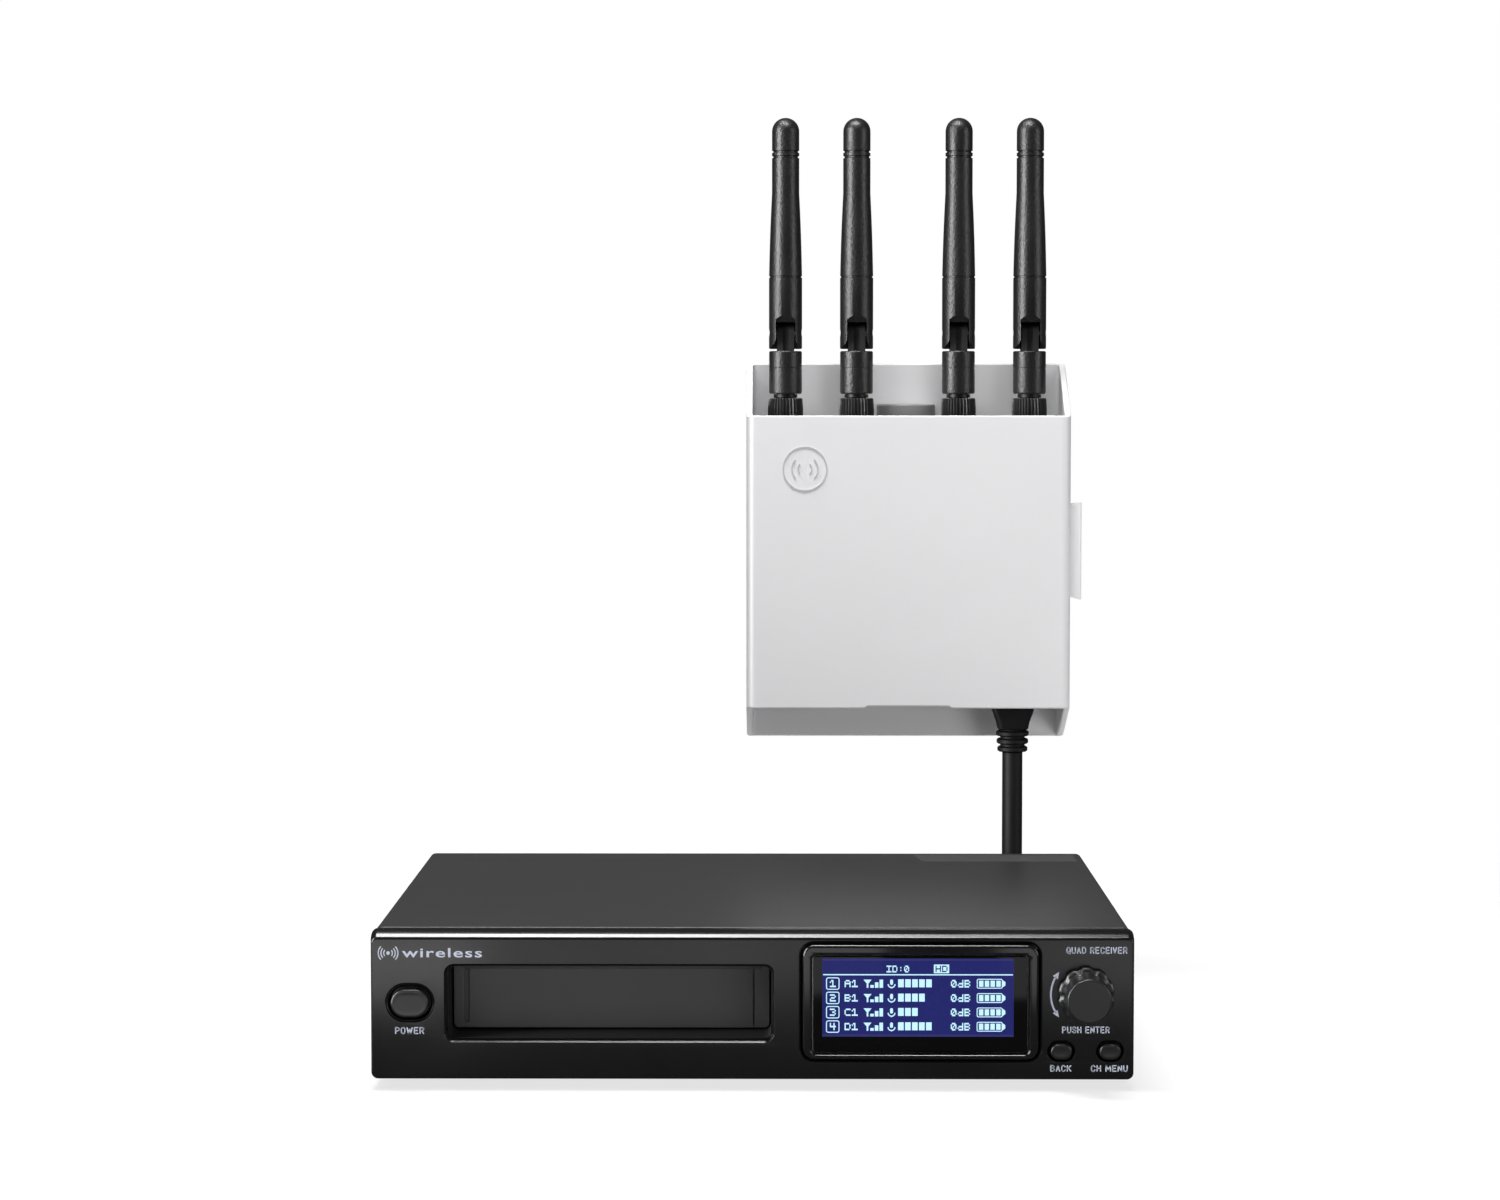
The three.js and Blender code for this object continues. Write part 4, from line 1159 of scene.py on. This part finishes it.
def build_flap(bm):
    """The flap: a plate with a groove near its left end and a seam near its right."""
    low, high = mm_box("bay_flap")
    left, right, bottom = low.x, high.x, low.z
    top = 33.3
    face, back = 15.0, 16.4
    outer = Outline(left, right, bottom, top, 1.5)
    groove = Outline(-80.3, -79.0, 16.4, top - 0.9, 0.6)
    seam = Outline(0.2, 0.6, bottom + 0.6, top - 0.6, 0.19, 3)
    edge = [(-0.25, face), (-0.07, face + 0.07), (0, face + 0.25), (0, back)]
    dip = [(0.08, face), (0, face + 0.1), (0, face + 0.9)]
    front, rear = stepped(bm, outer, edge)
    rims = []
    for shape in (groove, seam):
        rim, floor = stepped(bm, shape, dip)
        fill(bm, floor)
        rims.append(rim)
    fill(bm, front, *rims)
    fill(bm, rear)


new_piece("bay_flap_plate", build_flap, "bay_black", "bay_flap_body", sharp=50)


def build_flap_barrel(bm):
    """The flap's barrel, turned upright and then laid along x at the hinge."""
    turned(bm, [(0, -80.9), (1.3, -80.9), (1.45, -80.7), (1.45, 2.2), (1.3, 2.4), (0, 2.4)], 0, 0, 24)
    lay_down = Matrix(((0, 0, 1, 0), (0, 1, 0, 0), (-1, 0, 0, 0), (0, 0, 0, 1)))
    bm.transform(Matrix.Translation((0, 16, 32.4)) @ lay_down)


barrel = new_piece("bay_flap_barrel", build_flap_barrel, "bay_black", "bay_flap_body")
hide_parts("bay_flap")


# ---- receiver: cover and label


def build_cover(bm):
    """The folded cover: rounded along its side folds and rolled over at its front edge."""
    low, high = mm_box("top_cover")
    half, top, bottom = high.x, high.z, low.z
    sheet, fold, roll = 1.2, 2.0, 0.6

    def section(inset):
        """The cover's outer skin at one place along y, drawn in by inset, left to right."""
        h, t, r = half - inset, top - inset, max(fold - inset, 0.3)
        points = [(-h, bottom)]
        points += arc(-h + r, t - r, r, 180, 90, 8)
        points += arc(h - r, t - r, r, 90, 0, 8)
        points += [(h, bottom)]
        return points

    stations = []
    for k in range(7):
        angle = math.radians(90 * k / 6)
        stations.append((roll * (1 - math.sin(angle)), low.y + roll * (1 - math.cos(angle))))
    stations += [(0, high.y - 0.3), (0.1, high.y - 0.08), (0.3, high.y)]
    rows = [ring_at_y(bm, section(min(inset, sheet)), y) for inset, y in stations]
    inner = [ring_at_y(bm, section(sheet), y) for y in (high.y, low.y + roll)]
    rows += inner
    for first, second in zip(rows, rows[1:] + rows[:1]):
        for k in range(len(first) - 1):
            bm.faces.new((first[k], first[k + 1], second[k + 1], second[k]))
    for end in (0, -1):
        edge = [row[end] for row in rows]
        bm.faces.new(edge)


new_piece("top_cover_shell", build_cover, "cover_black", stands_for=("top_cover",), sharp=40)


def build_top_label(bm):
    """A plain rating label, without any lettering, near the back of the cover."""
    top = mm_box("top_cover")[1].z
    outline = [(50.5, 162.5), (52.6, 146), (101.5, 146), (101.5, 162.5)]
    prism(bm, outline, top, top + 0.06, ring_at_z)


new_piece("top_label", build_top_label, "label_grey")


# ---- antenna unit: bracket

SLEEVE_LOW, SLEEVE_HIGH = mm_box("bracket_sleeve")
SLEEVE = {
    "left": SLEEVE_LOW.x,
    "right": 101.2,
    "front": SLEEVE_LOW.y,
    "back": SLEEVE_HIGH.y,
    "wall": 2.0,
    "corner": 3.2,
    "front_bottom": 90.5,
    "front_top": 184.6,
    "back_bottom": SLEEVE_LOW.z,
    "back_top": SLEEVE_HIGH.z,
    "slope_end": 198.5,
}
SLEEVE_X = (SLEEVE["left"] + SLEEVE["right"]) / 2


def sleeve_levels(x, y):
    """The heights of the sleeve's lower and upper rim at one place round it."""
    s = SLEEVE
    start = s["front"] + s["wall"]
    share = min(1, max(0, (y - start) / (s["slope_end"] - start)))
    low = s["front_bottom"] + share * (s["back_bottom"] - s["front_bottom"])
    high = s["front_top"] + share * (s["back_top"] - s["front_top"])
    aside = abs(x - SLEEVE_X)
    if y < start and aside < 14:
        low += 0.7 * min(1, (14 - aside) / 0.8)
    return low, high


def build_sleeve(bm):
    """A tube of sheet with rounded upright edges and soft rims."""
    s = SLEEVE
    outer = Outline(s["left"], s["right"], s["front"], s["back"], s["corner"], 10)

    def dense(points):
        """Adds points along the long straight runs, closer together round the notch."""
        full = []
        for k, a in enumerate(points):
            b = points[(k + 1) % len(points)]
            full.append(a)
            length = math.dist(a, b)
            if length < 5:
                continue
            if abs(a[1] - b[1]) < 0.01 and a[1] < s["front"] + s["wall"] + 0.1:
                stops = [SLEEVE_X + side * d for side, d in ((-1, 14), (-1, 13.2), (1, 13.2), (1, 14))]
                full += [(stop, a[1]) for stop in sorted(stops, reverse=a[0] > b[0])]
            elif abs(a[0] - b[0]) < 0.01:
                full += [(a[0], a[1] + (b[1] - a[1]) * t / 8) for t in range(1, 8)]
        return full

    skins = [dense(outer.grown(-inset)) for inset in (0.5, 0.15, 0, 0, 0.15, 0.5)]
    drops = [0, 0.15, 0.5, -0.5, -0.15, 0]
    inner_insets = [s["wall"] - 0.5, s["wall"] - 0.15, s["wall"], s["wall"]]
    inner_insets += [s["wall"] - 0.15, s["wall"] - 0.5]
    inner_skins = [dense(outer.grown(-inset)) for inset in inner_insets]
    inner_drops = [0, -0.15, -0.5, 0.5, 0.15, 0]
    rings = []
    for index, (skin, drop) in enumerate(zip(skins + inner_skins, drops + inner_drops)):
        is_low = index in (0, 1, 2, 9, 10, 11)
        ring = []
        for x, y in skin:
            low, high = sleeve_levels(x, y)
            ring.append(bm.verts.new((x, y, (low if is_low else high) + drop)))
        rings.append(ring)
    join_rings(bm, rings + rings[:1])


def sleeve_with_keyholes():
    """The sleeve with two keyhole slots through its back, which hang it on wall screws."""
    sleeve = bmesh.new()
    build_sleeve(sleeve)
    for x in (SLEEVE_X - 30, SLEEVE_X + 30):
        points = arc(x, 150, 4, 120, 420, 20) + arc(x, 160, 2, 0, 180, 10)
        sleeve = carved(sleeve, prism, points, SLEEVE["back"] - 2.6, SLEEVE["back"] + 2)
    return sleeve


new_piece(
    "sleeve_shell", sleeve_with_keyholes(), "white_sleeve", stands_for=("bracket_sleeve",), sharp=50
)


def build_rails(bm):
    """The rails that hold the module."""
    for side in (-1, 1):
        wall = SLEEVE_X + side * 51
        edge = SLEEVE_X + side * 41
        x = (min(wall, edge), max(wall, edge))
        block(bm, x, (173.7, 175.7), (96, 175))
        block(bm, x, (194.8, 196.8), (96, 175))


def build_tab(bm):
    """A wedge whose outer edge, nearer the front, is a little taller than its root."""
    outer_edge = 103  # points further right than this are on the outer edge
    points = [(100.4, 184), (101.0, 174.6), (104.4, 173.1), (104.8, 173.4), (101.4, 184)]
    rings = []
    for root, outer in ((126.4, 125.5), (156, 156.9)):
        ring = [bm.verts.new((x, y, outer if x > outer_edge else root)) for x, y in points]
        rings.append(ring)
    bridge(bm, rings[0], rings[1])
    for ring in rings:
        fill(bm, ring)


def build_clip(bm):
    """The half-round clip on the inside of the back wall."""
    top, back = 188.3, 198.6
    rings = []
    for inset, z in ((0, 181.6), (0, 187.6), (0.15, 188.0), (0.5, top)):
        bulge = [
            (SLEEVE_X + (9.6 - inset) * math.cos(a), back - (8.6 - inset) * math.sin(a))
            for a in (math.radians(15 * k) for k in range(13))
        ]
        rings.append(ring_at_z(bm, bulge, z))
    join_rings(bm, rings)
    fill(bm, rings[0])
    fill(bm, rings[-1])


new_piece("sleeve_rails", build_rails, "white_sleeve", bevel=0.3)
new_piece("sleeve_tab", build_tab, "white_sleeve", bevel=0.25)
# The clip's mid grey is painted shade on white plastic, not its own colour.
new_piece("sleeve_clip", build_clip, "clip_painted_shade", sharp=50)


def build_emblem(bm):
    """A plain raised ring with two arcs on each side, in place of any mark."""
    x, z = 15.8, 167.6
    face = SLEEVE["front"]

    def band(radius, start, end, steps):
        points = arc(x, z, radius + 0.16, start, end, steps)
        points += arc(x, z, radius - 0.16, end, start, steps)
        prism(bm, points, face - 0.25, face)

    for quarter in range(4):
        band(7.0, 90 * quarter, 90 * quarter + 90, 12)
    for side in (0, 180):
        band(2.2, side - 45, side + 45, 10)
        band(4.2, side - 45, side + 45, 12)


new_piece("sleeve_emblem", build_emblem, "emblem_grey")


# ---- antenna unit: antennas

PIN_Z = 211.3
BLADE_RADIUS = 5.35


def blade_bmesh():
    """One blade on the origin's vertical line: a long cap with a slot at its foot."""
    body = bmesh.new()
    profile = [
        (0, 206.1), (BLADE_RADIUS - 0.25, 206.1), (BLADE_RADIUS, 206.35), (BLADE_RADIUS, 229.0),
        (BLADE_RADIUS - 0.28, 229.1), (BLADE_RADIUS - 0.28, 229.5), (BLADE_RADIUS - 0.02, 229.6),
    ]
    for k in range(1, 9):
        t = k / 8
        bulge = 0.12 * math.sin(math.pi * t)
        profile.append((BLADE_RADIUS - 0.02 - 0.93 * t + bulge, 229.6 + 26.7 * t))
    tip = 4.4
    for low in (267.5, 269.2):
        profile += [(tip, low), (tip - 0.42, low + 0.15), (tip - 0.42, low + 0.6), (tip, low + 0.75)]
    dome = 280.5 - tip
    for k in range(10):
        angle = math.radians(9 * k)
        profile.append((tip * math.cos(angle), dome + tip * math.sin(angle)))
    profile.append((0, 280.5))
    turned(body, profile, 0, 0, 64)

    slot = [(-7, 205), (4.1, 205), (4.1, 214.7), (-3.6, 214.7), (-7, 218.98)]
    body = carved(body, prism, slot, -3.2, 3.2, ring_at_x)
    flare = [(-3.1, 209.2), (-3.6, 207.9), (-4.8, 206.5), (-4.8, 205), (4.8, 205), (4.8, 206.5)]
    flare += [(3.6, 207.9), (3.1, 209.2)]
    body = carved(body, prism, flare, -7, -1.6)
    foot = arc(0, PIN_Z, 5.6, 180, 270, 12) + [(0, 204), (-8, 204), (-8, PIN_Z)]
    body = carved(body, prism, foot, -7, 7, ring_at_x)
    hole = round_outline(0, PIN_Z, 1.3, 5).grown(0)
    return carved(body, prism, hole, -8, 8, ring_at_x)


def base_bmesh():
    """The swivelling base: its neck and its collar with a fine step."""
    body = bmesh.new()
    profile = [
        (0, 188), (3.1, 188), (3.1, 191.6), (5.0, 191.6), (5.3, 192.1), (5.3, 199.6), (5.2, 199.75),
        (5.2, 200.0), (5.3, 200.15), (5.3, 205.1), (5.0, 205.4), (0, 205.4),
    ]
    turned(body, profile, 0, 0, 64)
    return body


def tongue_bmesh():
    """The tongue that stands on the base, in the blade's slot, with a channel down its front."""
    tongue = bmesh.new()
    points = arc(0.6, PIN_Z, 2.9, 0, 180, 20) + [(-2.3, 204.8), (3.5, 204.8)]
    prism(tongue, points, -2.8, 2.8, ring_at_x)
    return carved(tongue, block, (-0.9, 0.9), (-4, -1.5), (205.6, 212.6))


def nut_bmesh():
    """The knurled nut under the base."""
    bm = bmesh.new()
    profile = [
        (3.5, 182), (5.4, 182), (5.75, 182.3), (5.7, 187), (5.5, 189.9), (5.2, 190.2), (3.5, 190.2),
        (3.5, 182),
    ]

    def wave(angle, index):
        return 1 if index in (0, 6, 7) else 1 - 0.1 * (0.5 - 0.5 * math.cos(34 * angle)) ** 0.6

    turned(bm, profile, 0, 0, 272, wave)
    return bm


def washer_bmesh():
    """The plain washer under the base's collar."""
    bm = bmesh.new()
    profile = [(3.1, 190.3), (3.7, 190.3), (3.85, 190.45), (3.85, 191.5), (3.1, 191.5)]
    turned(bm, profile + profile[:1], 0, 0, 48)
    return bm


def add_antennas():
    """Four antennas, each of five pieces and a CAD pin."""
    # The piece's name, shape, finish and body, the node that it replaces, its sharp angle.
    parts = (
        ("cap", blade_bmesh(), "antenna_black", "antenna_{}_blade_body", "blade", 40),
        ("collar", base_bmesh(), "antenna_black", "antenna_{}_swivel_body", "base", 40),
        ("tongue", tongue_bmesh(), "liner_black", "antenna_{}_swivel_body", "", 40),
        ("knurl", nut_bmesh(), "antenna_black", "root", "nut", 50),
        ("washer", washer_bmesh(), "steel_dark", "antenna_{}_swivel_body", "", 40),
    )
    for i in range(1, 5):
        offset = (middle_of(f"antenna_{i}_blade")[0], ANTENNA_Y, 0)
        for part, shape, material, body, node, sharp in parts:
            name = f"antenna_{i}_{part}"
            stands_for = (f"antenna_{i}_{node}",) if node else ()
            new_piece(name, copied(shape, offset), material, body.format(i), stands_for, sharp=sharp)
        keep_node(f"antenna_{i}_pin", "steel")
    for part in parts:
        part[1].free()


add_antennas()


# ---- receiver: rear panel


def build_xlr(bm):
    """One three-pin output round the line x = z = 0: flange, shell, well and insert."""
    profile = [
        (0, 147), (10.5, 147), (10.5, 166.1), (11.3, 166.1), (11.5, 166.3), (11.5, 167.0),
        (11.2, 167.3), (9.2, 167.3), (8.7, 167.1), (8.4, 166.6), (8.2, 154), (0, 154),
    ]
    turned_y(bm, profile, 0, 0, 64)


def build_xlr_pins(bm):
    for k in range(3):
        angle = math.pi / 2 * (k - 1)
        x, z = 4.9 * math.sin(angle), -4.9 * math.cos(angle)
        profile = [(0, 153.9), (1.2, 153.9), (1.2, 165.4), (0.9, 165.9), (0, 166.1)]
        turned_y(bm, profile, x, z, 20)


def add_rear():
    for i in range(1, 5):
        x, z = middle_of(f"xlr_out_{i}")
        for build, material, stands_for in (
            (build_xlr, "module_black", (f"xlr_out_{i}",)),
            (build_xlr_pins, "gold", ()),
        ):
            bm = bmesh.new()
            build(bm)
            bmesh.ops.translate(bm, verts=bm.verts, vec=(x, 0, z))
            name = f"xlr_out_{i}_shell" if stands_for else f"xlr_out_{i}_pins"
            new_piece(name, bm, material, stands_for=stands_for, sharp=40)


add_rear()


def screw_bmesh():
    """A pan-headed screw with a cross recess. Its seat is at the origin and it faces +z."""
    head = bmesh.new()
    profile = [(0, -0.6), (1.5, -0.6), (1.5, 0.02), (2.3, 0.02), (2.35, 0.3), (2.1, 0.7)]
    profile += [(1.4, 1.05), (0, 1.2)]
    turned(head, profile, 0, 0, 32)
    head = carved(head, block, (-1.3, 1.3), (-0.24, 0.24), (0.5, 2))
    return carved(head, block, (-0.24, 0.24), (-1.3, 1.3), (0.5, 2))


def add_screws():
    """The casing's screws: six at the rear, and three smaller ones on each side."""
    screw = screw_bmesh()
    backwards = Matrix.Rotation(math.radians(-90), 4, "X")
    places = [
        (Matrix.Translation((x, REAR_FACE, z)) @ backwards)
        for x, z in ((-97.5, 39.4), (-2.5, 39.4), (52, 39.4), (97.5, 39.4), (-97.5, 8), (-2.5, 8))
    ]
    for side in (-1, 1):
        outwards = Matrix.Rotation(math.radians(90 * side), 4, "Y")
        places += [
            Matrix.Translation((side * 104.2, y, 24)) @ outwards @ Matrix.Scale(0.6, 4)
            for y in (30, 90, 150)
        ]
    for number, place in enumerate(places, 1):
        head = screw.copy()
        head.transform(place)
        new_piece(f"casing_screw_{number}", head, "steel_dark", sharp=40)
    screw.free()


add_screws()
for number in range(1, 5):
    x = middle_of(f"xlr_out_{number}")[0]
    add_capitals(f"label_out_{number}", f"OUT {number}", x - 3.4, x + 3.4, 37.4, 39.2, rear=True)
for name, words, left, right, low, high in (
    ("label_mix_out", "MIX OUT", 60.7, 71.3, 35.0, 36.8),
    ("label_link", "LINK", 31.0, 37.0, 21.6, 23.4),
    ("label_antenna", "ANTENNA", -0.9, 10.7, 21.6, 23.4),
    ("label_dc_in", "DC IN", 80.6, 88.2, 35.0, 36.8),
):
    add_capitals(name, words, left, right, low, high, rear=True)

for material, bevel, names in (
    ("cover_black", 0.2, "chassis_base"),
    ("cover_black", 0, "rear_panel"),
    ("liner_black", 0.2, "bay_liner"),
    ("steel", 0, "flap_hinge_pin lcd_module encoder_body encoder_shaft"),
    ("module_black", 0, "encoder_plunger"),
    ("board_green", 0, "front_board power_switch main_board"),
    ("steel", 0.2, "mix_out_jack"),
    ("steel", 0.15, "antenna_port module_jack"),
    ("module_black", 0.15, "link_ports"),
    ("module_black", 0.2, "dc_inlet"),
    ("steel", 0.3, "cord_hook"),
    ("module_black", 0.3, "module_shell_front module_shell_back"),
    ("gold", 0, "module_board"),
    ("rubber", 0.4, "foot_1 foot_2 foot_3 foot_4"),
):
    for name in names.split():
        keep_node(name, material, bevel)
